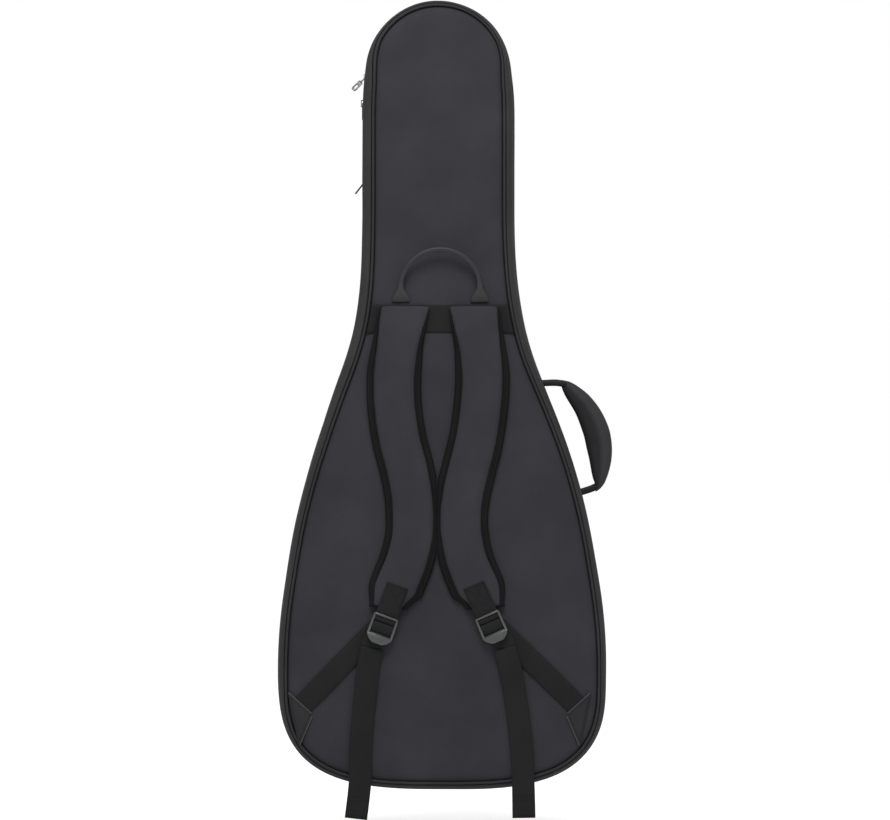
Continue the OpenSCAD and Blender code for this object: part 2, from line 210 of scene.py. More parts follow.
# ---------------------------------------------------------------- mesh helpers
def make(name, verts, faces, material, is_lid=False, smooth_shade=True):
    """A mesh object from local or lid-frame points."""
    v = np.asarray(verts, float).reshape(-1, 3)
    if is_lid:
        v = lid(v)
    me = bpy.data.meshes.new(name)
    me.from_pydata(row(v).tolist(), [], [tuple(int(i) for i in f) for f in faces])
    me.materials.append(material)
    me.validate()
    bm = bmesh.new()
    bm.from_mesh(me)
    bmesh.ops.recalc_face_normals(bm, faces=bm.faces)
    bm.to_mesh(me)
    bm.free()
    me.polygons.foreach_set("use_smooth", [smooth_shade] * len(me.polygons))
    ob = bpy.data.objects.new(name, me)
    scene.collection.objects.link(ob)
    return ob


def grid_faces(n, m, wrap_n=False, wrap_m=False):
    """Quads of an n by m grid of points."""
    i = np.arange(n if wrap_n else n - 1)
    j = np.arange(m if wrap_m else m - 1)
    a, b = (q.ravel() for q in np.meshgrid(i, j, indexing="ij"))
    a2, b2 = (a + 1) % n, (b + 1) % m
    return np.stack([a * m + b, a2 * m + b, a2 * m + b2, a * m + b2], 1)


def loft(name, sections, material, is_lid=False, closed_path=True, caps=False):
    """Skin over closed sections. sections: (path points, section points, 3)."""
    s = np.asarray(sections, float)
    n, m = s.shape[:2]
    faces = [tuple(f) for f in grid_faces(n, m, closed_path, True)]
    if caps:
        faces.append(tuple(range(m)))
        faces.append(tuple((n - 1) * m + j for j in range(m))[::-1])
    return make(name, s, faces, material, is_lid)


def join(name, objects):
    """One object from several, with all their materials."""
    for o in bpy.context.selected_objects:
        o.select_set(False)
    for o in objects:
        o.select_set(True)
    bpy.context.view_layer.objects.active = objects[0]
    bpy.ops.object.join()
    objects[0].name = name
    objects[0].data.name = name
    objects[0].select_set(False)
    return objects[0]


BOX_FACES = ((0, 1, 3, 2), (4, 6, 7, 5), (0, 4, 5, 1), (2, 3, 7, 6), (0, 2, 6, 4), (1, 5, 7, 3))


def box_points(size):
    """Corners of a box, in BOX_FACES' order. size: (from, to) along each of three directions."""
    return np.array([[x, y, z] for x in size[0] for y in size[1] for z in size[2]])


def apply_modifiers(ob):
    """The mesh as its modifiers leave it."""
    bpy.context.view_layer.update()
    me = bpy.data.meshes.new_from_object(ob.evaluated_get(bpy.context.evaluated_depsgraph_get()))
    old = ob.data
    ob.modifiers.clear()
    ob.data = me
    bpy.data.meshes.remove(old)
    return ob


def bevelled(ob, width, segments=2, angle=35):
    m = ob.modifiers.new("bevel", "BEVEL")
    m.width = width
    m.segments = segments
    m.limit_method = "ANGLE"
    m.angle_limit = math.radians(angle)
    m.use_clamp_overlap = True
    return apply_modifiers(ob)


def catmull(points, per=8):
    """A smooth curve through the points, with per steps between two of them."""
    p = np.asarray(points, float)
    out = []
    for i in range(len(p) - 1):
        p0, p1, p2, p3 = p[max(i - 1, 0)], p[i], p[i + 1], p[min(i + 2, len(p) - 1)]
        for k in range(per):
            t = k / per
            out.append(0.5 * (2 * p1 + t * (p2 - p0) + t * t * (2 * p0 - 5 * p1 + 4 * p2 - p3)
                              + t ** 3 * (3 * p1 - 3 * p2 + p3 - p0)))
    out.append(p[-1])
    return np.array(out)


def resample(points, n, closed=False):
    """n points at even distances along a line."""
    p = np.asarray(points, float)
    if closed:
        p = np.vstack([p, p[:1]])
    seg = np.linalg.norm(np.diff(p, axis=0), axis=1)
    s = np.concatenate([[0], np.cumsum(seg)])
    t = np.linspace(0, s[-1], n + 1)[:-1] if closed else np.linspace(0, s[-1], n)
    return np.stack([np.interp(t, s, p[:, k]) for k in range(p.shape[1])], 1)


def tangents(path, closed=False):
    p = np.asarray(path, float)
    t = np.roll(p, -1, 0) - np.roll(p, 1, 0) if closed else np.gradient(p, axis=0)
    return t / np.linalg.norm(t, axis=1)[:, None]


def section_ring(n, power=2.0):
    """Unit superellipse points (u, v)."""
    a = np.arange(n) * 2 * math.pi / n
    c, s = np.cos(a), np.sin(a)
    return np.stack([np.sign(c) * np.abs(c) ** (2 / power), np.sign(s) * np.abs(s) ** (2 / power)], 1)


def square_to(path, across, closed=False):
    """Unit vectors across a path, as near as can be to the wanted ones, and the third direction."""
    t = tangents(path, closed)
    a = np.broadcast_to(np.asarray(across, float), path.shape)
    a = a - (a * t).sum(1)[:, None] * t
    a /= np.linalg.norm(a, axis=1)[:, None]
    return a, np.cross(t, a)


def sweep(name, path, across, half_w, half_t, material, n=16, power=2.0, closed=False, is_lid=False,
          wrinkle=0.0, seed=0):
    """A closed section swept along a path. across: direction of the section's width."""
    p = np.asarray(path, float)
    a, nrm = square_to(p, across, closed)
    w = np.broadcast_to(half_w, (len(p),))
    h = np.broadcast_to(half_t, (len(p),))
    ring = section_ring(n, power)
    s = (p[:, None] + a[:, None] * (ring[None, :, :1] * w[:, None, None])
         + nrm[:, None] * (ring[None, :, 1:] * h[:, None, None]))
    if wrinkle:
        s = ruffle(s, wrinkle, 60, seed)
    return loft(name, s, material, is_lid, closed_path=closed, caps=not closed)


def ruffle(points, size, scale, seed=0):
    """Small, fixed unevenness of hand-sewn cloth."""
    p = np.asarray(points, float)
    flat = p.reshape(-1, 3)
    origin = Vector((seed * 7.3, 1.7, seed))
    off = np.array([list(noise.noise_vector(Vector(v) * scale + origin)) for v in flat])
    return (flat + off * size).reshape(p.shape)


def ribbon(name, path, across, width, thick, material, n_across=8, is_lid=False, wave=0.0, seed=0):
    """Flat webbing along a path, with rounded edges."""
    p = np.asarray(path, float)
    a, nrm = square_to(p, across)
    u = np.linspace(-1, 1, n_across)
    inner = 1 - 0.7 * thick / width
    top = [(x * inner, 1) for x in u]
    bottom = [(x * inner, -1) for x in u[::-1]]
    sec = np.array(top + [(1, 0.35), (1, -0.35)] + bottom + [(-1, -0.35), (-1, 0.35)], float)
    s = (p[:, None] + a[:, None] * (sec[None, :, :1] * width / 2)
         + nrm[:, None] * (sec[None, :, 1:] * thick / 2))
    if wave:
        s = ruffle(s, wave, 25, seed)
    return loft(name, s, material, is_lid, closed_path=False, caps=True)


STITCH_GAP, STITCH_LEN, STITCH_R = 0.0042, 0.0026, 0.00035


def stitches(path, normal, lift=0.0002):
    """A run of thread stitches along a path: one short four-sided bead for each."""
    p = np.asarray(path, float)
    count = max(2, int(np.linalg.norm(np.diff(p, axis=0), axis=1).sum() / STITCH_GAP))
    q = resample(p, count * 2)
    t = tangents(q)
    out = np.asarray(normal, float)
    bead = [tuple(f) for f in grid_faces(4, 4, False, True)] + [(0, 3, 2, 1), (12, 13, 14, 15)]
    verts, faces = [], []
    for i in range(0, count * 2, 2):
        faces += [tuple(len(verts) + v for v in f) for f in bead]
        side = np.cross(t[i], out)
        for e, r in ((-0.5, 0.5), (-0.3, 1.0), (0.3, 1.0), (0.5, 0.5)):
            for g in np.arange(4) * math.pi / 2 + math.pi / 4:
                verts.append(q[i] + out * lift + t[i] * STITCH_LEN * e
                             + (side * math.cos(g) + out * math.sin(g)) * STITCH_R * r)
    return make("stitches", verts, faces, THREAD_AND_CREASE_SHADE)


def done(ob, body, *nodes, slot=None, fill=None):
    """Rides on a CAD body and stands for CAD nodes, which it hides."""
    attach(ob, body)
    return known(ob, *nodes, slot=slot, fill=fill)


def known(ob, *nodes, slot=None, fill=None):
    """Stands for CAD nodes, which it hides."""
    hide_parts(*nodes)
    return ob


# ---------------------------------------------------------------- outline of the bag
HEAD_R, HEAD_END, NECK_HW = 0.1016, math.radians(7.5), 0.106
WAIST, WAIST_ANGLE = np.array([0.143, 0.572]), math.radians(21.4)
BOUT_Z, BOUT_N = 0.165, 3.06


def bezier(a, b, c, d, n):
    """n points of the curve from a to d that b and c pull on."""
    t = np.linspace(0, 1, n)[:, None]
    a, b, c, d = (np.asarray(q, float) for q in (a, b, c, d))
    return (1 - t) ** 3 * a + 3 * (1 - t) ** 2 * t * b + 3 * (1 - t) * t * t * c + t ** 3 * d


def half_outline():
    """Right half from the top of the head to the middle of the bottom."""
    a = np.linspace(math.pi / 2, HEAD_END, 60)
    c = BAG_LEN - HEAD_R
    arc = np.stack([HEAD_R * np.cos(a), c + HEAD_R * np.sin(a)], 1)
    down = np.array([math.sin(HEAD_END), -math.cos(HEAD_END)])
    wd = np.array([math.sin(WAIST_ANGLE), -math.cos(WAIST_ANGLE)])
    one = bezier(arc[-1], arc[-1] + down * 0.038, (NECK_HW, 0.975), (NECK_HW, 0.900), 30)
    two = bezier((NECK_HW, 0.823), (NECK_HW, 0.686), WAIST - wd * 0.076, WAIST, 60)
    three = bezier(WAIST, WAIST + wd * 0.147, (BOUT_HW, BOUT_Z + 0.138), (BOUT_HW, BOUT_Z), 80)
    b = np.linspace(0, math.pi / 2, 90)
    four = np.stack([BOUT_HW * np.cos(b) ** (2 / BOUT_N), BOUT_Z - BOUT_Z * np.sin(b) ** (2 / BOUT_N)], 1)
    return np.vstack([arc, one[1:], two, three[1:], four[1:]])


def full_loop(n=560):
    """The closed outline at even steps."""
    h = half_outline()
    other = h[1:-1][::-1] * [-1, 1]
    return resample(np.vstack([h, other]), n, closed=True)


LOOP = full_loop()
# the soft bag hangs a little off the pattern: longer at both ends, its body to the right, the hips drawn in
HIP_Z, HIP_SPAN, HIP_IN = 0.31, 0.06, 0.006
across, up = LOOP.T.copy()
LOOP[:, 0] += 0.0019 * (1 - smooth(0.62, 0.80, up))
LOOP[:, 0] -= HIP_IN * across * np.exp(-((up - HIP_Z) / HIP_SPAN) ** 2)
LOOP[:, 1] += 0.0038 * smooth(0.93, 1.10, up) - 0.0022 * (1 - smooth(0, 0.12, up))
LOOP_T = tangents(LOOP, closed=True)
LOOP_N = np.stack([-LOOP_T[:, 1], LOOP_T[:, 0]], 1)
# the back face is sewn a little off the zip's line: to the left at the neck, to the right at the bout
SWAY_NECK, SWAY_BOUT, PANEL_SWAY_NECK = -0.0028, 0.0023, -0.0010


def sway(z, neck):
    """How far the back face lies to the right at height z."""
    return SWAY_BOUT + (neck - SWAY_BOUT) * smooth(0.45, 0.62, z)


def crease(z):
    """How far inside the outline the panel's seam lies on the back."""
    return np.interp(z, [0, 0.05, 0.15, 0.45, 0.60, 0.985, 1.05, 1.1],
                     [0.0130, 0.0130, 0.0138, 0.0145, 0.0172, 0.0172, 0.0105, 0.0100])


def around(inset, y, swayed=0.0):
    """The outline moved in by inset, at depth y. Both may be arrays along the outline."""
    d = np.broadcast_to(inset, (len(LOOP),))
    p = LOOP - LOOP_N * d[:, None]
    x = p[:, 0] + sway(p[:, 1], np.interp(d, [0.004, 0.012], [SWAY_NECK, PANEL_SWAY_NECK])) * swayed
    return np.stack([x, np.broadcast_to(y, (len(LOOP),)), p[:, 1]], 1)


def band(name, profile, material, is_lid=False, rough=0.0, seed=0):
    """A ring round the bag. profile: (inset, y, sway share) for each point of the section."""
    s = np.stack([around(*q) for q in profile], 1)
    return loft(name, ruffle(s, rough, 13, seed), material, is_lid)


def inside_rows(loop, rows, cols):
    """Grid of points filling a closed outline that is one interval at each height."""
    z0, z1 = loop[:, 1].min(), loop[:, 1].max()
    top, bot = int(np.argmax(loop[:, 1])), int(np.argmin(loop[:, 1]))
    r = np.roll(loop, -top, 0)
    k = (bot - top) % len(loop)
    one, two = r[:k + 1], np.vstack([r[k:], r[:1]])
    z = z0 + (z1 - z0) * (1 - np.cos(np.linspace(0, math.pi, rows))) / 2
    z[0] += 1e-7
    z[-1] -= 1e-7
    xa = np.interp(z, one[::-1, 1], one[::-1, 0])
    xb = np.interp(z, two[:, 1], two[:, 0])
    lo, hi = np.minimum(xa, xb), np.maximum(xa, xb)
    u = (1 - np.cos(np.linspace(0, math.pi, cols))) / 2
    return np.stack([lo[:, None] + (hi - lo)[:, None] * u, np.broadcast_to(z[:, None], (rows, cols))], -1)


def edge_distance(points, loop):
    """Distance of each point from the outline's segments."""
    a, b = loop, np.roll(loop, -1, 0)
    d = b - a
    out = np.empty(len(points))
    for i in range(0, len(points), 2000):
        q = points[i:i + 2000]
        t = np.clip(((q[:, None] - a) * d).sum(-1) / (d * d).sum(-1), 0, 1)
        out[i:i + 2000] = np.linalg.norm(q[:, None] - (a + t[..., None] * d), axis=-1).min(1)
    return out


def cushion(name, loop, y_edge, y_back, rise, face, material, is_lid=False, rows=200, cols=90, rough=0.0004,
            seed=0, dent=None, scale=9):
    """A padded panel: closed, flat behind, crowned in front. face is -1 towards -y or +1 towards +y.
    rise: function of the distance from the edge."""
    g = inside_rows(loop, rows, cols)
    flat = g.reshape(-1, 2)
    dist = edge_distance(flat, loop).reshape(rows, cols)
    h = rise(dist)
    n = np.array([noise.noise(Vector((p[0] * scale, seed * 3.1, p[1] * scale)))
                  + 0.4 * noise.noise(Vector((p[0] * scale * 3, seed * 5.7, p[1] * scale * 2.4)))
                  for p in flat]).reshape(rows, cols)
    h = h + rough * n * smooth(0, 0.02, dist)
    if dent is not None:
        h = h + dent(g[..., 1])
    front = np.stack([g[..., 0], y_edge + face * h, g[..., 1]], -1)
    back = np.stack([g[..., 0], np.full((rows, cols), y_back), g[..., 1]], -1)
    verts = np.concatenate([front.reshape(-1, 3), back.reshape(-1, 3)])
    f = grid_faces(rows, cols)
    off = rows * cols
    faces = [tuple(q) for q in f] + [tuple(q[::-1] + off) for q in f]
    rim = ([i * cols for i in range(rows)] + [(rows - 1) * cols + j for j in range(1, cols)]
           + [i * cols + cols - 1 for i in range(rows - 2, -1, -1)] + [j for j in range(cols - 2, 0, -1)])
    for i in range(len(rim)):
        a, b = rim[i], rim[(i + 1) % len(rim)]
        faces.append((a, b, b + off, a + off))
    return make(name, verts, faces, material, is_lid)


# ---------------------------------------------------------------- camera, light and floor
CAM_DISTANCE, FRAME_W = 8.0, 1.244
cam_data = bpy.data.cameras.new("camera")
cam_data.sensor_width = 36
cam_data.lens = 36 * CAM_DISTANCE / FRAME_W
cam_data.clip_end = 60
camera = bpy.data.objects.new("camera", cam_data)
camera.location = row((0.0077, -CAM_DISTANCE, 0.5298))
camera.rotation_euler = (math.pi / 2, 0, 0)
scene.collection.objects.link(camera)
scene.camera = camera
scene.view_settings.view_transform = "Standard"

world = bpy.data.worlds.new("studio")
world.use_nodes = True
sky = world.node_tree.nodes["Background"]
sky.inputs["Color"].default_value = (1, 1, 1, 1)
sky.inputs["Strength"].default_value = 1.0
scene.world = world


# one large soft light, high up behind the camera's side
key_data = bpy.data.lights.new("key", "AREA")
key_data.shape = "DISK"
key_data.size = 1.4
key_data.energy = 92
key = bpy.data.objects.new("key", key_data)
key.location = row((-0.1, -1.6, 2.62))
key.rotation_euler = Vector(row((0, 0, 0.8)) - row((-0.1, -1.6, 2.62))).to_track_quat("-Z", "Y").to_euler()
scene.collection.objects.link(key)

low = cad_bounds[0][2]
bpy.ops.mesh.primitive_plane_add(size=60, location=(0, 0, low - 0.03))
floor = bpy.context.object
floor.name = "floor"
floor.data.materials.append(FLOOR)
glow = FLOOR.node_tree.nodes["Principled BSDF"]
glow.inputs["Emission Color"].default_value = (1, 1, 1, 1)
glow.inputs["Emission Strength"].default_value = 0.12

# ---------------------------------------------------------------- free webbing ends: the tails
TAILS = {"left": [(-94.6, 193), (-99.6, 173), (-104.4, 124), (-109, 70), (-111, 10), (-116.8, -41)],
         "right": [(91.8, 193), (97.8, 173), (104.4, 140), (110.8, 94), (115.8, 40), (118, -40)]}
TAIL_TOP = {-1: (-0.0936, -0.0094, 0.1970), 1: (0.0906, -0.0094, 0.1970)}
TAIL_W = WEB_W * 1.06
for side, sign in (("left", -1), ("right", 1)):
    pts = [TAIL_TOP[sign]]
    pts += [(x * MM, -0.0088 + 0.0012 * min(i, 2) / 2, z * MM) for i, (x, z) in enumerate(TAILS[side])]
    path = resample(catmull(pts, 10), 40)
    lean = np.linspace(0, 1, len(path)) * (0.18 if sign < 0 else -0.12)
    across = np.stack([np.cos(lean), np.sin(lean), np.zeros(len(path))], 1)
    tail = ribbon(f"tail_webbing_{side}", path, across, TAIL_W, 0.0016, WEBBING, wave=0.0005, seed=3 + sign)
    hem_path = path[-7:] + [0, 0.0016, 0]
    hem = ribbon("hem", hem_path, across[-7:], TAIL_W * 0.995, 0.0016, WEBBING)
    sew = [stitches(np.stack([path[k] + across[k] * (w * TAIL_W * 0.42) for w in np.linspace(-1, 1, 12)]),
                    (0, -1, 0), lift=0.0009) for k in (-6, -5)]
    tail = join(f"tail_webbing_{side}", [tail, hem] + sew)
    done(tail, f"tail_{side}", f"tail_{side}", slot="webbing")

# ---------------------------------------------------------------- back shell
zc = LOOP[:, 1]
E = crease(zc)
F = E - 0.0055
YZ = zip_y(zc)
gusset = band("back_gusset_cloth", [
    (F, 0.0024, 1), (F * 0.84, 0.0020, 1), (F * 0.60, 0.0040, 1), (F * 0.36, 0.0078, 1),
    (F * 0.15, 0.0140, 1), (F * 0.04, 0.0220, 1), (0, 0.0330, 0.8), (0, YZ - 0.0260, 0.3),
    (0.0005, YZ - 0.0160, 0.05),
    (0.0016, YZ - 0.0090, 0), (0.0026, YZ - 0.0082, 0), (0.0100, YZ - 0.0085, 0), (0.0105, YZ - 0.0105, 0),
    (0.0105, 0.0180, 0.6), (0.0125, 0.0128, 1), (F + 0.003, 0.0110, 1)], GUSSET, rough=0.0007, seed=1)
done(gusset, "shell", "back_gusset", "gusset_foam", slot="gusset_fabric", fill=0.8)

PANEL_LOOP = around(E, 0, 1)[:, [0, 2]]


def panel_rise(d):
    """Crown of a padded panel at distance d from its seam."""
    return 0.0041 * (1 - np.exp(-d / 0.0050)) + 0.0008 * (1 - np.exp(-d / 0.05))


def under_band(z):
    """The panel is pressed in where the webbing band crosses it."""
    low, high = BAND_Z
    return -0.0006 * smooth(low - 0.012, low + 0.004, z) * (1 - smooth(high - 0.004, high + 0.012, z))


back = cushion("back_panel_cloth", PANEL_LOOP, 0.0024, 0.0060, panel_rise, -1, PANEL, rows=260, cols=110,
               rough=0.0005, seed=2, dent=under_band)
done(back, "shell", "back_panel", "back_foam", slot="panel_fabric", fill=0.7)


def ring_tube(name, inset, y, r_in, r_y, material, is_lid=False, swayed=1.0, n=10, rough=0.0, seed=0):
    """A cord round the bag."""
    inset = np.asarray(inset)
    s = np.stack([around(inset - u * r_in, y + v * r_y, swayed) for u, v in section_ring(n)], 1)
    if rough:
        s = ruffle(s, rough, 90, seed)
    return loft(name, s, material, is_lid)


# the dark rings either side of the piping sit on its seams and are painted crease shade
piping = join("back_piping_cord", [
    ring_tube("piping", E - 0.0028, 0.0000, 0.0018, 0.0020, PIPING, rough=0.00025, seed=4),
    ring_tube("seam_crease_shade_in", E - 0.0002, 0.0019, 0.0011, 0.0008, THREAD_AND_CREASE_SHADE, n=6),
    ring_tube("seam_crease_shade_out", E - 0.0051, 0.0016, 0.0008, 0.0007, THREAD_AND_CREASE_SHADE, n=6)])
done(piping, "shell", "back_piping", slot="piping")


def flat_slab(name, inset, y, t, face, is_lid, seed):
    """A sheet of lining, t thick, filling the outline moved in by inset."""
    loop = around(inset, 0, 0 if is_lid else 0.8)[:, [0, 2]]
    return cushion(name, loop, y, y - face * t, lambda d: 0.0006 * (1 - np.exp(-d / 0.01)), face, LINING,
                   is_lid, rows=120, cols=50, rough=0.0005, seed=seed)


lining = flat_slab("back_lining_cloth", 0.0109, 0.0122, 0.0008, 1, False, 5)
done(lining, "shell", "back_lining", slot="lining")
wall_lining = band("gusset_lining_cloth", [
    (0.0106, 0.0126, 0.8), (0.0106, 0.0300, 0.5), (0.0106, YZ - 0.0096, 0),
    (0.0114, YZ - 0.0096, 0), (0.0114, 0.0300, 0.5), (0.0114, 0.0126, 0.8)], LINING, rough=0.0004, seed=6)
done(wall_lining, "shell", "gusset_lining", slot="lining")
binding = ring_tube("back_binding_tape", 0.0120, 0.0145, 0.0009, 0.0022, WEBBING, swayed=0.8)
done(binding, "shell", "back_binding", slot="webbing")


# ---------------------------------------------------------------- main zip and its cloth hinge
def zip_run():
    """The outline's indices in order, from one end of the zip to the other."""
    gone = (LOOP[:, 0] > 0.1) & (zc > HINGE_Z[0] - 0.003) & (zc < HINGE_Z[1] + 0.003)
    first = int(np.where(gone & ~np.roll(gone, -1))[0][0]) + 1
    order = (np.arange(len(LOOP)) + first) % len(LOOP)
    return order[~gone[order]]


TOOTH_STEP = 0.0026
TOOTH = ((-.5, 0, 0), (.5, 0, 0), (.5, 0, 1), (-.5, 0, 1),
         (-.62, 1, 0), (.62, 1, 0), (.62, 1, 1), (-.62, 1, 1))
TOOTH_FACES = ((0, 1, 2, 3), (4, 7, 6, 5), (0, 4, 5, 1), (1, 5, 6, 2), (2, 6, 7, 3), (3, 7, 4, 0))


def teeth(name, places, along, across, out, reach, near, far):
    """Tapered zip teeth. reach: millimetres across; near, far: from and to in height, at the root and tip."""
    verts, faces = [], []
    for place, t, n in zip(places, along, out):
        faces += [tuple(len(verts) + v for v in q) for q in TOOTH_FACES]
        for a, end, top in TOOTH:
            verts.append(place + (t * a * 1.25 + across * (0.2, reach)[end] + n * (near, far)[end][top]) * MM)
    return make(name, verts, faces, COIL, True, smooth_shade=False)


RUN = zip_run()
for side, sign, body in (("back", -1, "shell"), ("front", 1, "lid")):
    prof = [(0.0020, 0.0086), (0.0018, 0.0050), (0.0019, 0.0001), (0.0027, 0.0001), (0.0030, 0.0086)]
    s = np.stack([around(i, sign * y)[RUN] for i, y in prof], 1)
    tape = loft(f"zip_tape_{side}_cloth", s, TAPE, True, closed_path=False, caps=True)
    done(tape, body, f"zip_tape_{side}", slot="zip_tape")
    line = around(0.0019, 0)[RUN]
    count = int(np.linalg.norm(np.diff(line, axis=0), axis=1).sum() / TOOTH_STEP)
    c = resample(line, count)
    t = tangents(c)
    out = np.stack([-t[:, 2], np.zeros(count), t[:, 0]], 1)
    c = c + t * (TOOTH_STEP * 0.25 * sign)
    run = teeth(f"zip_teeth_{side}", c, t, np.array([0.0, sign, 0.0]), out, 2.6, (-0.8, 0.8), (-0.9, 0.9))
    done(run, body, f"zip_coil_{side}", slot="zip_coil")

near = (LOOP[:, 0] > 0.1) & (zc > HINGE_Z[0] - 0.004) & (zc < HINGE_Z[1] + 0.004)
hinge_prof = [(0.0006, -0.0150), (-0.0006, -0.0130), (-0.0014, -0.0060), (-0.0016, 0.0), (-0.0014, 0.0060),
              (-0.0004, 0.0130), (0.0006, 0.0150), (0.0022, 0.0150), (0.0010, 0.0060), (0.0008, 0.0),
              (0.0010, -0.0060), (0.0022, -0.0150)]
s = np.stack([around(i, y)[near] for i, y in hinge_prof], 1)
hinge_cloth = loft("hinge_cloth", s, GUSSET, True, closed_path=False, caps=True)
known(hinge_cloth, "hinge_fabric", slot="gusset_fabric")
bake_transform(hinge_cloth)

# ---------------------------------------------------------------- lid
E2, F2 = 0.0140, 0.0085
front_wall = band("front_gusset_cloth", [
    (0.0026, 0.0082, 0), (0.0016, 0.0090, 0), (0.0004, 0.0130, 0), (0.0, 0.0185, 0), (0.0010, 0.0250, 0),
    (0.0036, 0.0305, 0), (F2 * 0.8, 0.0335, 0), (F2, 0.0332, 0), (0.0125, 0.0260, 0), (0.0120, 0.0235, 0),
    (0.0105, 0.0215, 0), (0.0105, 0.0100, 0), (0.0098, 0.0084, 0)], GUSSET, True, rough=0.0005, seed=7)
done(front_wall, "lid", "front_gusset", "front_gusset_foam", slot="gusset_fabric", fill=0.8)
FRONT_LOOP = around(E2, 0, 0)[:, [0, 2]]
front = cushion("front_panel_cloth", FRONT_LOOP, 0.0330, 0.0290, panel_rise, 1, PANEL, True, rows=220,
                cols=90, rough=0.0005, seed=8)
done(front, "lid", "front_panel", "front_foam", slot="panel_fabric", fill=0.7)
# the dark rings either side of the piping sit on its seams and are painted crease shade
front_pipe = join("front_piping_cord", [
    ring_tube("piping", E2 - 0.0026, 0.0352, 0.0020, 0.0021, PIPING, True, 0, rough=0.00025, seed=9),
    ring_tube("seam_crease_shade_in", E2 - 0.0002, 0.0332, 0.0007, 0.0007, THREAD_AND_CREASE_SHADE, True, 0, n=6),
    ring_tube("seam_crease_shade_out", E2 - 0.0052, 0.0336, 0.0007, 0.0007, THREAD_AND_CREASE_SHADE, True, 0, n=6)])
done(front_pipe, "lid", "front_piping", slot="piping")
lid_lining = flat_slab("front_lining_cloth", 0.0109, 0.0228, 0.0008, -1, True, 10)
lid_wall = band("lid_wall_lining", [(0.0106, 0.0090, 0), (0.0106, 0.0226, 0), (0.0114, 0.0226, 0),
                                    (0.0114, 0.0090, 0)], LINING, True, rough=0.0003, seed=11)
done(join("front_lining_cloth", [lid_lining, lid_wall]), "lid", "front_lining", slot="lining")
lid_binding = ring_tube("front_binding_tape", 0.0117, 0.0205, 0.0009, 0.0022, WEBBING, True, 0)
done(lid_binding, "lid", "front_binding", slot="webbing")


def rounded_top(side_points, top, r):
    """Closed outline: a symmetric shape given by its right side, cut off at top with rounded corners."""
    p = side_points[side_points[:, 1] < top - r]
    x = p[0, 0]
    a = np.linspace(math.pi / 2, 0, 10)[:-1]
    arc = np.stack([x - r + r * np.cos(a), top - r + r * np.sin(a)], 1)
    half = np.vstack([arc, p])
    return resample(np.vstack([half, half[::-1] * [-1, 1]]), 380, closed=True)


def loop_moved(loop, d):
    t = tangents(loop, True)
    return loop - np.stack([-t[:, 1], t[:, 0]], 1) * d


def pouch(name, loop, y0, y1, seed, rows, cols, wall_node, panel_node, opening):
    """A flat pocket: side wall with the opening for its zip, piped edge and soft front, in the lid frame."""
    prof = [(-0.0012, y0 + 0.0004), (-0.0006, y0 + 0.0030), (0.0, (y0 + y1) / 2), (0.0006, y1 - 0.0060),
            (0.0022, y1 - 0.0022), (0.0050, y1 - 0.0006), (0.0062, y1 - 0.0030), (0.0030, y1 - 0.0060),
            (0.0024, (y0 + y1) / 2), (0.0024, y0 + 0.0004)]
    s = []
    for d, y in prof:
        p = loop_moved(loop, d)
        s.append(np.stack([p[:, 0], np.full(len(p), y), p[:, 1]], 1))
    wall = loft(name + "_wall", ruffle(np.stack(s, 1), 0.0007, 15, seed), GUSSET, True)
    gap = make("gap", box_points(opening), BOX_FACES, GUSSET, True)
    cut = wall.modifiers.new("opening", "BOOLEAN")
    cut.object = gap
    cut.solver = "EXACT"
    apply_modifiers(wall)
    bpy.data.objects.remove(gap)
    done(wall, "lid", wall_node, slot="gusset_fabric")
    face = cushion(name + "_face", loop_moved(loop, 0.0068), y1 - 0.0026, y1 - 0.0060,
                   lambda d: 0.0036 * (1 - np.exp(-d / 0.0050)) + 0.0016 * (1 - np.exp(-d / 0.06)), 1, PANEL,
                   True, rows=rows, cols=cols, rough=0.0011, seed=seed, scale=7)
    p = loop_moved(loop, 0.0056)
    p = np.stack([p[:, 0], np.full(len(p), y1 - 0.0004), p[:, 1]], 1)
    cord = sweep("cord", p, (0, 1, 0), 0.0018, 0.0018, PIPING, n=8, closed=True, is_lid=True)
    done(join(name + "_face", [face, cord]), "lid", panel_node, slot="panel_fabric", fill=0.5)


inner = LOOP - LOOP_N * 0.026
right = inner[(LOOP[:, 0] > 0) & (np.arange(len(LOOP)) < len(LOOP) // 2 + 2)]
right = right[right[:, 0] > 0]
pouch("body_pocket", rounded_top(right, 0.470, 0.022), LID_D, LID_D + 0.0275, 12, 110, 90, "pocket_gusset",
      "pocket_panel", ((-0.150, 0.150), (LID_D + 0.0098, LID_D + 0.0162), (0.4620, 0.4730)))
NECK_POCKET_HW, NECK_POCKET_LOW, CORNER_R = 0.094, 0.600, 0.016
a = np.linspace(0, math.pi / 2, 8)[1:]
corner = [NECK_POCKET_HW, NECK_POCKET_LOW] + CORNER_R * np.stack([np.cos(a) - 1, 1 - np.sin(a)], 1)
side_line = np.vstack([[(NECK_POCKET_HW, 0.8739), (NECK_POCKET_HW, NECK_POCKET_LOW + CORNER_R)], corner,
                       [(0.0005, NECK_POCKET_LOW)]])
pouch("neck_pocket", rounded_top(side_line, 0.890, CORNER_R), LID_D, LID_D + 0.0195,
      13, 90, 50, "neck_pocket_gusset", "neck_pocket_panel",
      ((-0.0970, -0.0860), (LID_D + 0.0058, LID_D + 0.0122), (0.626, 0.872)))


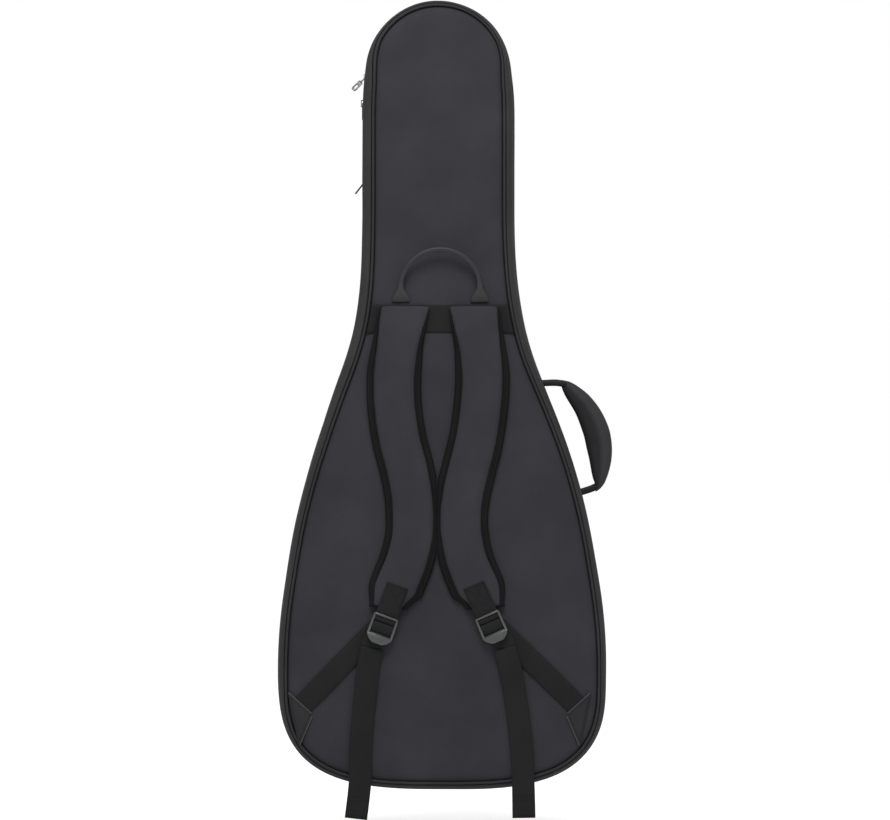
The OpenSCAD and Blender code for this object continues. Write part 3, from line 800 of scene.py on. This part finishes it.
def straight_zip(name, start, end, out, across, node):
    """Two tapes with teeth along a straight line, in the lid frame."""
    a, b, out, across = (np.asarray(q, float) for q in (start, end, out, across))
    run = b - a
    length = np.linalg.norm(run)
    along = run / length
    parts = []
    for sgn in (-1, 1):
        middle = np.linspace(a, b, 24) + across * sgn * 0.0046 + out * 0.0006
        parts.append(ribbon("tape", middle, across, 0.0064, 0.0009, TAPE, n_across=4, is_lid=True,
                            wave=0.0001))
        count = int(length / TOOTH_STEP)
        places = a + along * (np.arange(count)[:, None] + 0.5 + 0.25 * sgn) * length / (count + 1)
        parts.append(teeth("teeth", places, [along] * count, across * sgn, [out] * count, 2.4,
                           (0.2, 1.9), (0.2, 2.0)))
    done(join(name, parts), "lid", node, slot="zip_coil")


straight_zip("body_pocket_zip", (-0.150, LID_D + 0.013, 0.4700), (0.150, LID_D + 0.013, 0.4700), (0, 0, 1),
             (0, 1, 0), "pocket_zip")
straight_zip("neck_pocket_zip_run", (-NECK_POCKET_HW, LID_D + 0.009, 0.626),
             (-NECK_POCKET_HW, LID_D + 0.009, 0.872), (-1, 0, 0), (0, 1, 0), "neck_pocket_zip")

# ---------------------------------------------------------------- inside
xs = np.linspace(-1, 1, 25)
trough = np.stack([xs * 0.042, 0.0465 - (0.0225) * np.sqrt(np.clip(1 - xs ** 2, 0, 1))], 1)
prof = np.vstack([[(-0.0915, 0.0135), (-0.0915, 0.0440), (-0.0890, 0.0465)], trough,
                  [(0.0890, 0.0465), (0.0915, 0.0440), (0.0915, 0.0135)]])
mid = prof.mean(0)
s = []
for z, k in ((0.8200, 0.90), (0.8206, 0.96), (0.8235, 1), (0.8500, 1), (0.8765, 1), (0.8794, 0.96),
             (0.8800, 0.90)):
    q = mid + (prof - mid) * k
    s.append(np.stack([q[:, 0], q[:, 1], np.full(len(q), z)], 1))
cradle = loft("neck_cradle_pad", ruffle(np.array(s), 0.0006, 30, 14), LINING, closed_path=False, caps=True)
done(cradle, "shell", "neck_cradle", slot="lining", fill=0.8)
for nm, x0, x1, y, seed in (("hook", -0.0920, 0.0200, 0.0507, 15), ("loop", 0.0940, -0.0180, 0.0528, 16)):
    x = np.linspace(x0, x1, 30)
    path = np.stack([x, y + 0.0006 * np.sin(np.linspace(0, 9, 30)), np.full(30, 0.851)], 1)
    tape = ribbon(f"neck_strap_{nm}_tape", path, (0, 0, 1), 0.038, 0.0015, WEBBING, wave=0.0003, seed=seed)
    done(tape, "shell", f"neck_strap_{nm}", slot="webbing")
x = np.linspace(-0.070, 0.070, 28)
taper = np.sqrt(np.clip(1 - (np.abs(x) / 0.0706) ** 10, 0.02, 1))
bump = sweep("bumper_cushion", np.stack([x, np.full(28, 0.0525), np.full(28, 0.0205)], 1), (0, 0, 1),
             0.0083 * taper, 0.0220 * taper, LINING, n=24, power=4.5, wrinkle=0.0005, seed=17)
done(bump, "shell", "bumper_pad", slot="lining", fill=0.8)

# ---------------------------------------------------------------- webbing on the back panel
LOCK_AT = {-1: (-0.0760, 0.2360), 1: (0.0685, 0.2380)}
LOCK_TURN = {-1: math.radians(20), 1: math.radians(23.5)}
LOCK_Y = -0.011
half_r = PANEL_LOOP[: len(PANEL_LOOP) // 2 + 1]
half_l = np.vstack([PANEL_LOOP[len(PANEL_LOOP) // 2:], PANEL_LOOP[:1]])
zz = np.linspace(BAND_Z[0], BAND_Z[1], 17)
xr = np.interp(zz, half_r[::-1, 1], half_r[::-1, 0]) - 0.0006
xl = np.interp(zz, half_l[:, 1], half_l[:, 0]) + 0.0006
band_loop = resample(np.vstack([np.stack([xl, zz], 1), np.stack([xr, zz], 1)[::-1]]), 200, closed=True)
cross = cushion("cross_band_webbing", band_loop[::-1], -0.0020, -0.0016,
                lambda d: 0.0017 * (1 - np.exp(-d / 0.0012)), -1, WEBBING, rows=24, cols=90, rough=0.0003,
                seed=18, scale=20)
done(cross, "shell", "cross_band", slot="webbing")

for side, sign in (("left", -1), ("right", 1)):
    tri = np.array([(211, 134), (178, 104), (196, 62)], float) * MM * [sign, 1]
    ctr = tri.mean(0)
    tri = ctr + (tri - ctr) * 1.10
    pts = []
    for k in range(3):
        a, b, c = tri[k - 1], tri[k], tri[(k + 1) % 3]
        u, v = (a - b) / np.linalg.norm(a - b), (c - b) / np.linalg.norm(c - b)
        pts += [b + u * 0.004, b + (u + v) * 0.0012, b + v * 0.004]
    loop = resample(np.array(pts), 150, closed=True)
    patch = cushion(f"corner_tab_{side}_cloth", loop, -0.0034, -0.0024,
                    lambda d: 0.0020 * (1 - np.exp(-d / 0.0012)), -1, TAB, rows=60, cols=30, rough=0.0003,
                    seed=19 + sign, scale=30)
    inset = ctr + (tri - ctr) * 0.74
    parts = [patch]
    for k in range(3):
        q = np.linspace(inset[k], inset[(k + 1) % 3], 8)
        parts.append(stitches(np.stack([q[:, 0], np.full(8, -0.0054), q[:, 1]], 1), (0, -1, 0), lift=0.0001))
    # light lines along two folded edges of the tab: painted highlight
    for k in (0, 1):
        a, b = ctr + (tri[k] - ctr) * 0.97, ctr + (tri[k + 1] - ctr) * 0.97
        q = a + (b - a) * np.linspace(0.04, 0.96, 12)[:, None]
        q = np.stack([q[:, 0], np.full(12, -0.0050), q[:, 1]], 1)
        parts.append(sweep("fold", q, (0, 1, 0), 0.0005, 0.0007, FOLD_HIGHLIGHT, n=8))
    done(join(f"corner_tab_{side}_cloth", parts), "shell", f"corner_tab_{side}", slot="tab_fabric")

    # lower webbing, from under the tab to the back of the lock
    end = np.array([LOCK_AT[sign][0] + sign * 0.0020, LOCK_AT[sign][1] - 0.0020])
    start = np.array([sign * 0.1850, 0.1240])
    run = end - start
    along = run / np.linalg.norm(run)
    spots = [(-0.014, -0.0026), (0.0, -0.0032), (0.028, -0.0043), (0.070, -0.0046), (0.108, -0.0046),
             (0.130, -0.0060), (float(np.linalg.norm(run)), -0.0088)]
    path = catmull([(start[0] + along[0] * d, y, start[1] + along[1] * d) for d, y in spots], 8)
    web = ribbon(f"lower_webbing_{side}", path, (-along[1], 0, along[0]), WEB_W, 0.0016, WEBBING, wave=0.0004,
                 seed=22 + sign)
    known(web, f"lower_web_{side}", slot="webbing")
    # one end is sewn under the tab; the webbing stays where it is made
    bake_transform(web)


# ---------------------------------------------------------------- ladder locks
def lock_frame(sign, p):
    """Points of a lock: x across, z along the strap, from the bar that the strap's webbing turns round."""
    p = np.asarray(p, float)
    a = -sign * LOCK_TURN[sign]
    return np.stack([LOCK_AT[sign][0] + p[..., 0] * math.cos(a) + p[..., 2] * math.sin(a), LOCK_Y + p[..., 1],
                     LOCK_AT[sign][1] - p[..., 0] * math.sin(a) + p[..., 2] * math.cos(a)], -1)


def prism(name, sign, poly, y0, y1, material, width=0.0005, tip=0.0):
    """A bevelled plate in the lock's frame. tip: how much it leans out below the bars."""
    n = len(poly)
    v = [(x, y, z) for y in (y0, y1) for x, z in poly]
    v = np.array([(x, y + min(0, z + 0.0190) * tip, z) for x, y, z in v])
    f = [tuple(range(n))[::-1], tuple(range(n, 2 * n))]
    f += [(i, (i + 1) % n, n + (i + 1) % n, n + i) for i in range(n)]
    return bevelled(make(name, lock_frame(sign, v), f, material), width, 3)


def across_lock(sign):
    """The direction across a lock."""
    return lock_frame(sign, np.array([1.0, 0, 0])) - lock_frame(sign, np.zeros(3))


def lock_ribbon(name, sign, yz, width, thick):
    """Webbing through a lock. yz: its line seen from the lock's side."""
    path = lock_frame(sign, catmull([(0, y, z) for y, z in yz], 5))
    return ribbon(name, path, across_lock(sign), width, thick, WEBBING)


def lock_wrap(sign, yz):
    """The webbing through a lock: round its bars, then level with the top of the hanging tail."""
    low = np.array(TAIL_TOP[sign]) + [0, 0.0016, 0]
    p = lock_frame(sign, np.array([(0, y, z) for y, z in yz]))
    path = catmull(np.vstack([p, low + [0, 0, 0.0080], low - [0, 0, 0.0004]]), 5)
    last = np.arange(len(path)) > len(path) * 0.6
    k = (smooth(low[2] + 0.018, low[2] + 0.002, path[:, 2]) * last)[:, None]
    across = across_lock(sign) * (1 - k) + np.array([1.0, 0, 0]) * k
    return ribbon("wrap", path, across, 0.0290, 0.0015, WEBBING)


for side, sign in (("left", -1), ("right", 1)):
    bits = []
    for m in (-1, 1):
        arm = [(0.0150, 0.0070), (0.0150, -0.0234), (0.0186, -0.0244), (0.0184, -0.0120), (0.0179, 0.0050),
               (0.0168, 0.0070)]
        bits.append(prism("arm", sign, [(m * x, z) for x, z in arm][::m], -0.0038, 0.0014, PLASTIC, 0.0008))
    bits.append(prism("rim", sign, [(-0.0168, 0.0042), (0.0168, 0.0042), (0.0168, 0.0070), (-0.0168, 0.0070)],
                      -0.0048, -0.0026, PLASTIC, 0.0007))
    for z, h in ((0.0, 0.0030), (-0.0105, 0.0034), (-0.0222, 0.0020)):
        bits.append(prism("bar", sign, [(-0.0160, z - h / 2), (0.0160, z - h / 2), (0.0160, z + h / 2),
                                        (-0.0160, z + h / 2)], -0.0015, 0.0010, PLASTIC, 0.0006))
    tab = [(-0.0184, -0.0228), (0.0184, -0.0228), (0.0181, -0.0246), (0.0168, -0.0268), (0.0130, -0.0308),
           (0.0076, -0.0342), (-0.0076, -0.0342), (-0.0130, -0.0308), (-0.0168, -0.0268), (-0.0181, -0.0246)]
    bits.append(prism("thumb", sign, tab, -0.0040, -0.0016, PLASTIC, 0.0009, tip=0.16))
    for k in range(3):
        z = -0.0268 - k * 0.0026
        w = 0.0095 - k * 0.0018
        ridge = [(-w, z), (w, z), (w, z + 0.0010), (-w, z + 0.0010)]
        bits.append(prism("grip", sign, ridge, -0.0045, -0.0038, PLASTIC, 0.0002, tip=0.16))
    wrap = lock_wrap(sign, [(0.0016, -0.0262), (0.0006, -0.0212), (-0.0022, -0.0164), (-0.0031, -0.0105),
                            (-0.0022, -0.0064), (0.0004, -0.0048), (0.0024, -0.0070), (0.0027, -0.0140),
                            (0.0026, -0.0230)])
    lock = join(f"ladder_lock_{side}_body", bits + [wrap])
    done(lock, f"lock_{side}", f"ladder_lock_{side}", slot="lock_plastic")

# ---------------------------------------------------------------- shoulder straps
STRAP_MID = {-1: [(48, 677), (53.5, 650), (59.5, 613), (63.5, 576), (62.5, 534), (56, 489), (46, 450),
                  (39, 413), (37, 380), (38.5, 350), (46.5, 318), (58, 288), (71.5, 253)],
             1: [(48, 677), (51.5, 650), (57, 613), (60, 576), (57.5, 534), (51, 489), (41.5, 450),
                 (33, 413), (29.5, 380), (31.5, 350), (38.5, 318), (50.5, 288), (64.5, 253)]}
# the straps come close together here; each keeps to its own side
BETWEEN = {-1: -0.0046, 1: -0.0026}
STRAP_W, STRAP_T = 0.064, 0.012


def inflate(ob, voxel, pressure, cap, frames=20):
    """Remeshes a closed form and lets a cloth simulation swell it, no point moving further than cap."""
    ob.modifiers.new("remesh", "REMESH").mode = "VOXEL"
    ob.modifiers["remesh"].voxel_size = voxel
    ob.modifiers["remesh"].use_smooth_shade = True
    even = ob.modifiers.new("even", "SMOOTH")
    even.factor = 0.5
    even.iterations = 5
    apply_modifiers(ob)
    rest = np.array([v.co for v in ob.data.vertices])
    cloth = ob.modifiers.new("cloth", "CLOTH")
    cloth.settings.quality = 5
    cloth.settings.mass = 0.25
    cloth.settings.tension_stiffness = 40
    cloth.settings.compression_stiffness = 20
    cloth.settings.bending_stiffness = 1.0
    cloth.settings.use_pressure = True
    cloth.settings.uniform_pressure_force = pressure
    cloth.settings.effector_weights.gravity = 0
    cloth.point_cache.frame_start = 1
    cloth.point_cache.frame_end = frames
    for f in range(1, frames + 1):
        scene.frame_set(f)
        bpy.context.view_layer.update()
    apply_modifiers(ob)
    now = np.array([v.co for v in ob.data.vertices])
    move = now - rest
    far = np.linalg.norm(move, axis=1)[:, None]
    move *= np.minimum(1, cap / np.maximum(far, 1e-9))
    ob.data.vertices.foreach_set("co", (rest + move).ravel())
    scene.frame_set(1)
    sub = ob.modifiers.new("sub", "SUBSURF")
    sub.levels = 1
    sub.render_levels = 1
    apply_modifiers(ob)
    ob.data.polygons.foreach_set("use_smooth", [True] * len(ob.data.polygons))
    ob.data.update()


for side, sign in (("left", -1), ("right", 1)):
    mid = resample(catmull(np.array(STRAP_MID[sign], float) * MM, 10), 150) * [sign, 1]
    t2 = tangents(mid)
    n2 = np.stack([-t2[:, 1], t2[:, 0]], 1)
    if n2[0, 0] < 0:
        n2 = -n2
    s = np.linspace(0, 1, 150)
    level = (1 - smooth(0, 0.06, s) + 0.75 * smooth(0.90, 1.0, s))[:, None]
    n2 = n2 * (1 - level) + np.array([1.0, 0]) * level
    n2 /= np.linalg.norm(n2, axis=1)[:, None]
    # the strap is folded and sewn flat at the band, and narrows to the lock
    full = smooth(0.0, 0.085, s) * (1 - 0.35 * smooth(0.93, 1.0, s))
    half = 0.0030 + (STRAP_T / 2 - 0.0036) * full
    depth = -(0.0038 + half)
    wide = (STRAP_W / 2 - 0.0008 + 0.0036 * (1 - smooth(0.0, 0.16, s))) * (1 - 0.28 * smooth(0.93, 1.0, s))

    def strap_form(name, half_w, mid_y, half_t, material, power, lip=0.0012, first=0):
        u = np.concatenate([np.linspace(-1, 1, 26), np.linspace(1, -1, 26)[1:-1]])
        sgn = np.concatenate([-np.ones(26), np.ones(24)])
        body = (1 - np.abs(u) ** power) ** 0.5
        sec = []
        for k in range(first, 150):
            rim = min(lip, half_t[k] * 0.5)
            y = mid_y[k] + sgn * (rim + (half_t[k] - rim) * body)
            y[np.abs(u) > 0.999] = mid_y[k]
            x = mid[k, 0] + n2[k, 0] * u * half_w[k]
            x = np.minimum(x, BETWEEN[sign]) if sign < 0 else np.maximum(x, BETWEEN[sign])
            sec.append(np.stack([x, y, mid[k, 1] + n2[k, 1] * u * half_w[k]], 1))
        return loft(name, np.array(sec), material, closed_path=False, caps=True)

    pad = strap_form(f"strap_{side}_pad", wide, depth, half, STRAP, 5)
    inflate(pad, 0.0026, 4.0, 0.0016)
    # the black mesh underside, wider than the cloth face, shows as a dark rim; its extra width is painted
    # shadow on the panel beside the strap
    under_and_shadow_w = wide + 0.0008 + 0.0062 * smooth(0.01, 0.24, s) * (1 - 0.35 * smooth(0.93, 1.0, s))
    under_y = depth + 0.0014 * full
    under = strap_form("under", under_and_shadow_w, under_y, half * 0.72, EDGE_AND_SIDE_SHADE, 3, first=3)
    pieces = [pad, under]
    # dark edging along both sides: binding tape, partly painted shade of the strap's thick side
    for e in (-1, 1):
        rim = np.stack([mid[:, 0] + n2[:, 0] * e * (wide - 0.0002), depth - 0.0008 * full,
                        mid[:, 1] + n2[:, 1] * e * (wide - 0.0002)], 1)
        rim[:, 0] = np.minimum(rim[:, 0], BETWEEN[sign]) if sign < 0 else np.maximum(rim[:, 0], BETWEEN[sign])
        half_edge = np.interp(np.linspace(0, 1, 220), s, 0.0018 + 0.0012 * full)
        pieces.append(sweep("edge", resample(rim[2:], 220), (0, 1, 0), half_edge, 0.0011, EDGE_AND_SIDE_SHADE, n=10, power=3,
                            wrinkle=0.0004, seed=30 + e))
    strap = join(f"strap_{side}_pad", pieces)
    done(strap, f"strap_{side}", f"strap_{side}", slot="strap_fabric", fill=0.7)

    # webbing sewn to the strap and turned round the lock's bar
    patch = lock_ribbon("patch", sign, [
        (-0.0054, 0.0522), (-0.0056, 0.0420), (-0.0056, 0.0250), (-0.0054, 0.0150), (-0.0040, 0.0095),
        (-0.0020, 0.0055), (-0.0022, 0.0025), (-0.0026, 0.0), (-0.0018, -0.0024), (0.0, -0.0030),
        (0.0020, -0.0020), (0.0026, 0.0010), (0.0010, 0.0060), (-0.0010, 0.0105)], 0.0315, 0.0015)
    sews = []
    box_pts = [(-0.0132, 0.0498), (0.0132, 0.0498), (0.0132, 0.0235), (-0.0132, 0.0235), (-0.0132, 0.0498),
               (0.0132, 0.0235), (0.0132, 0.0498), (-0.0132, 0.0235)]
    for a, b in zip(box_pts[:-1], box_pts[1:]):
        q = np.linspace((a[0], -0.0063, a[1]), (b[0], -0.0063, b[1]), 8)
        sews.append(stitches(lock_frame(sign, q), (0, -1, 0), lift=0.0001))
    patch = join(f"strap_webbing_{side}", [patch] + sews)
    done(patch, f"strap_{side}", f"strap_web_{side}", slot="webbing")

# ---------------------------------------------------------------- haul loop
LOOP_R, LEAN = 0.054, math.radians(10)
LEG = 0.0193
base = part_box("haul_loop")[0][2] - SHIFT[2] + 0.0015
u = np.linspace(-0.0015, LEG, 14)
a = np.linspace(math.pi, 0, 60)
path = np.vstack([np.stack([np.full(14, -LOOP_R), u], 1),
                  np.stack([LOOP_R * np.cos(a), LEG + LOOP_R * np.sin(a)], 1)[1:-1],
                  np.stack([np.full(14, LOOP_R), u[::-1]], 1)])
radial = np.vstack([np.tile([-1.0, 0], (14, 1)), np.stack([np.cos(a), np.sin(a)], 1)[1:-1],
                    np.tile([1.0, 0], (14, 1))])
rise = np.interp(path[:, 1], [-0.0015, 0.008], [0.0022, 0.0])


def leaned(p):
    """Points of the loop's own plane, which leans off the panel."""
    return np.stack([p[:, 0], -p[:, 1] * math.sin(LEAN), p[:, 1] * math.cos(LEAN)], 1)


centre = leaned(path) + np.stack([0.0012 + path[:, 0] * 0.02, -0.0053 + rise, np.full(len(path), base)], 1)
wide = np.interp(path[:, 1], [-0.0015, 0.004, 0.010, 0.018, 0.030], [0.0130, 0.0122, 0.0088, 0.0046, 0.0032])
deep = np.interp(path[:, 1], [-0.0015, 0.004, 0.010, 0.018, 0.030], [0.0011, 0.0013, 0.0020, 0.0028, 0.0031])
haul = sweep("haul_loop_webbing", centre, leaned(radial), wide, deep, LOOP_WEB, n=20, power=2.6,
             wrinkle=0.0003, seed=33)
seam_path = centre + np.array([0, -1, 0]) * (deep[:, None] + 0.0002)
haul = join("haul_loop_webbing", [haul, stitches(seam_path[16:-16], (0, -1, 0))])
done(haul, "haul_loop", "haul_loop", slot="webbing")

# ---------------------------------------------------------------- side handle
OUTER = [(171, 572.0), (184, 569), (196, 562), (213, 547.5), (229, 525), (238.5, 503), (242.5, 480),
         (240.5, 453), (233.5, 430), (226, 419), (219.5, 414.6)]
INNER = [(171, 564.0), (175.5, 552), (190, 527), (201, 499), (208, 471), (214.5, 438), (218, 427),
         (218.6, 422.0)]
o = resample(catmull(np.array(OUTER) * MM, 8), 70)
i = resample(catmull(np.array(INNER) * MM, 8), 70)
mid, arm = (o + i) / 2, (o - i) / 2
t = np.linspace(-1, 1, 70)
fat = 0.0040 + 0.0105 * np.clip(1 - t ** 4, 0, 1) ** 0.6
ring = section_ring(36, 2.3)
fold = 1 - 0.10 * np.exp(-((ring[:, 0] + 0.12) / 0.09) ** 2)
s = np.stack([np.stack([mid[k, 0] + arm[k, 0] * ring[:, 0], 0.045 + fat[k] * ring[:, 1] * fold,
                        mid[k, 1] + arm[k, 1] * ring[:, 0]], 1) for k in range(70)])
grip = loft("side_grip_pad", ruffle(s, 0.0006, 40, 34), GRIP_OUT, closed_path=False, caps=True)
grip.data.materials.append(GRIP_MID_TONE)
grip.data.materials.append(GRIP_INNER_TONE)
# three tones, darker in steps towards the grip's inner side
for poly in grip.data.polygons:
    c = np.mean([ring[v % 36, 0] for v in poly.vertices]) if len(poly.vertices) == 4 else 0
    poly.material_index = 2 if c < 0.0 else (1 if c < 0.16 else 0)
done(grip, "side_handle", "side_grip", slot="grip_fabric", fill=0.8)
# its two webs run from the side seam into the pad
HANDLE_Y = 0.045
HANDLE_WEBS = {"upper": [(0.1405, 0.5672), (0.1500, 0.5678), (0.1640, 0.5680), (0.1780, 0.5658)],
               "lower": [(0.1925, 0.4128), (0.2040, 0.4162), (0.2130, 0.4192), (0.2215, 0.4230)]}
HANDLE_BENDS = {"upper": (0.150, 0.166), "lower": (0.1995, 0.2115)}
for side, pts in HANDLE_WEBS.items():
    a, b = HANDLE_BENDS[side]
    p = catmull([(x, HANDLE_Y, z) for x, z in pts], 8)
    t = tangents(p)
    up = np.stack([-t[:, 2], np.zeros(len(p)), t[:, 0]], 1)
    web = ribbon(f"side_handle_webbing_{side}", p, up * 0.16 + [0, 0.98, 0], 0.022, 0.0066, WEBBING,
                 wave=0.0004, seed=35)
    if side == "upper":
        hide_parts("side_handle_web")
    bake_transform(web)

# ---------------------------------------------------------------- metal parts kept from the CAD
for name in ("main_slider_upper", "main_slider_lower", "main_puller_lower", "pocket_slider",
             "pocket_puller", "neck_slider", "zip_stops"):
    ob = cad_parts[name]
    ob.data.materials.clear()
    ob.data.materials.append(BLACK_METAL if name.startswith("neck") or "lower" in name else METAL)


def block(origin, axes, long, wide, thick, material, width=0.0003):
    """A bevelled plate: (from, to) along the first of the axes, then half its size along the other two."""
    corners = box_points((long, wide if isinstance(wide, tuple) else (-wide, wide), (-thick, thick)))
    return bevelled(make("block", origin + corners @ np.array(axes), BOX_FACES, material), width, 2)


def puller_pin(name):
    """Where a zip puller's pin is: the top of its box, on the slider's side."""
    (lo, hi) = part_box(name)
    return np.array([hi[0] - 0.0008, (lo[1] + hi[1]) / 2, hi[2] - 0.0008]) - SHIFT


# the upper puller hangs turned about its own length, so it shows its face
top = puller_pin("main_puller_upper")
(lo, hi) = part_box("main_puller_upper")
tip = np.array([lo[0] - 0.0006, (lo[1] + hi[1]) / 2, lo[2] - 0.0006]) - SHIFT
long = float(np.linalg.norm(tip - top))
along = (tip - top) / long
pin = np.array([0.0, 1.0, 0.0])
flat = np.cross(pin, along)
twist = math.radians(68)
wide = pin * math.cos(twist) + flat * math.sin(twist)
eye, tab = (along, pin, flat), (along, wide, np.cross(along, wide))
bits = [block(top, eye, (-0.0006, 0.0006), 0.0031, 0.0006, PULL_METAL)]
bits += [block(top, eye, (-0.0006, 0.0070), (m - 0.0006, m + 0.0006), 0.0006, PULL_METAL)
         for m in (-0.0025, 0.0025)]
bits.append(block(top, eye, (0.0055, 0.0085), 0.0032, 0.0012, PULL_METAL, 0.0006))
bits.append(block(top, tab, (0.0078, 0.0102), 0.0034, 0.0010, PULL_METAL, 0.0006))
bits += [block(top, tab, (0.0088, long - 0.0012), (m - 0.0011, m + 0.0011), 0.0008, PULL_METAL, 0.0005)
         for m in (-0.0027, 0.0027)]
bits.append(block(top, tab, (0.0088, long * 0.62), 0.0030, 0.0007, PULL_METAL))
bits.append(block(top, tab, (long - 0.0034, long), 0.0030, 0.0008, PULL_METAL, 0.0007))
done(join("zip_puller_turned", bits), "main_puller_upper", "main_puller_upper")

# the neck pocket's puller is a short dark rod
top = puller_pin("neck_puller")
tip = np.array([-0.1194, top[1], top[2] - 0.0290])
along = (tip - top) / np.linalg.norm(tip - top)
u = np.linspace(0, 1, 30)
thicker = smooth(0.25, 0.35, u)
rod = sweep("rod", top + (tip - top) * u[:, None], pin, 0.0009 + 0.0005 * thicker, 0.0009 + 0.0003 * thicker,
            BLACK_METAL, n=14)
hoop = block(top, (along, pin, np.cross(pin, along)), (-0.0006, 0.0010), 0.0031, 0.0006, BLACK_METAL)
done(join("zip_cord_pull", [rod, hoop]), "neck_puller", "neck_puller")

scene.frame_set(1)
bpy.context.view_layer.update()
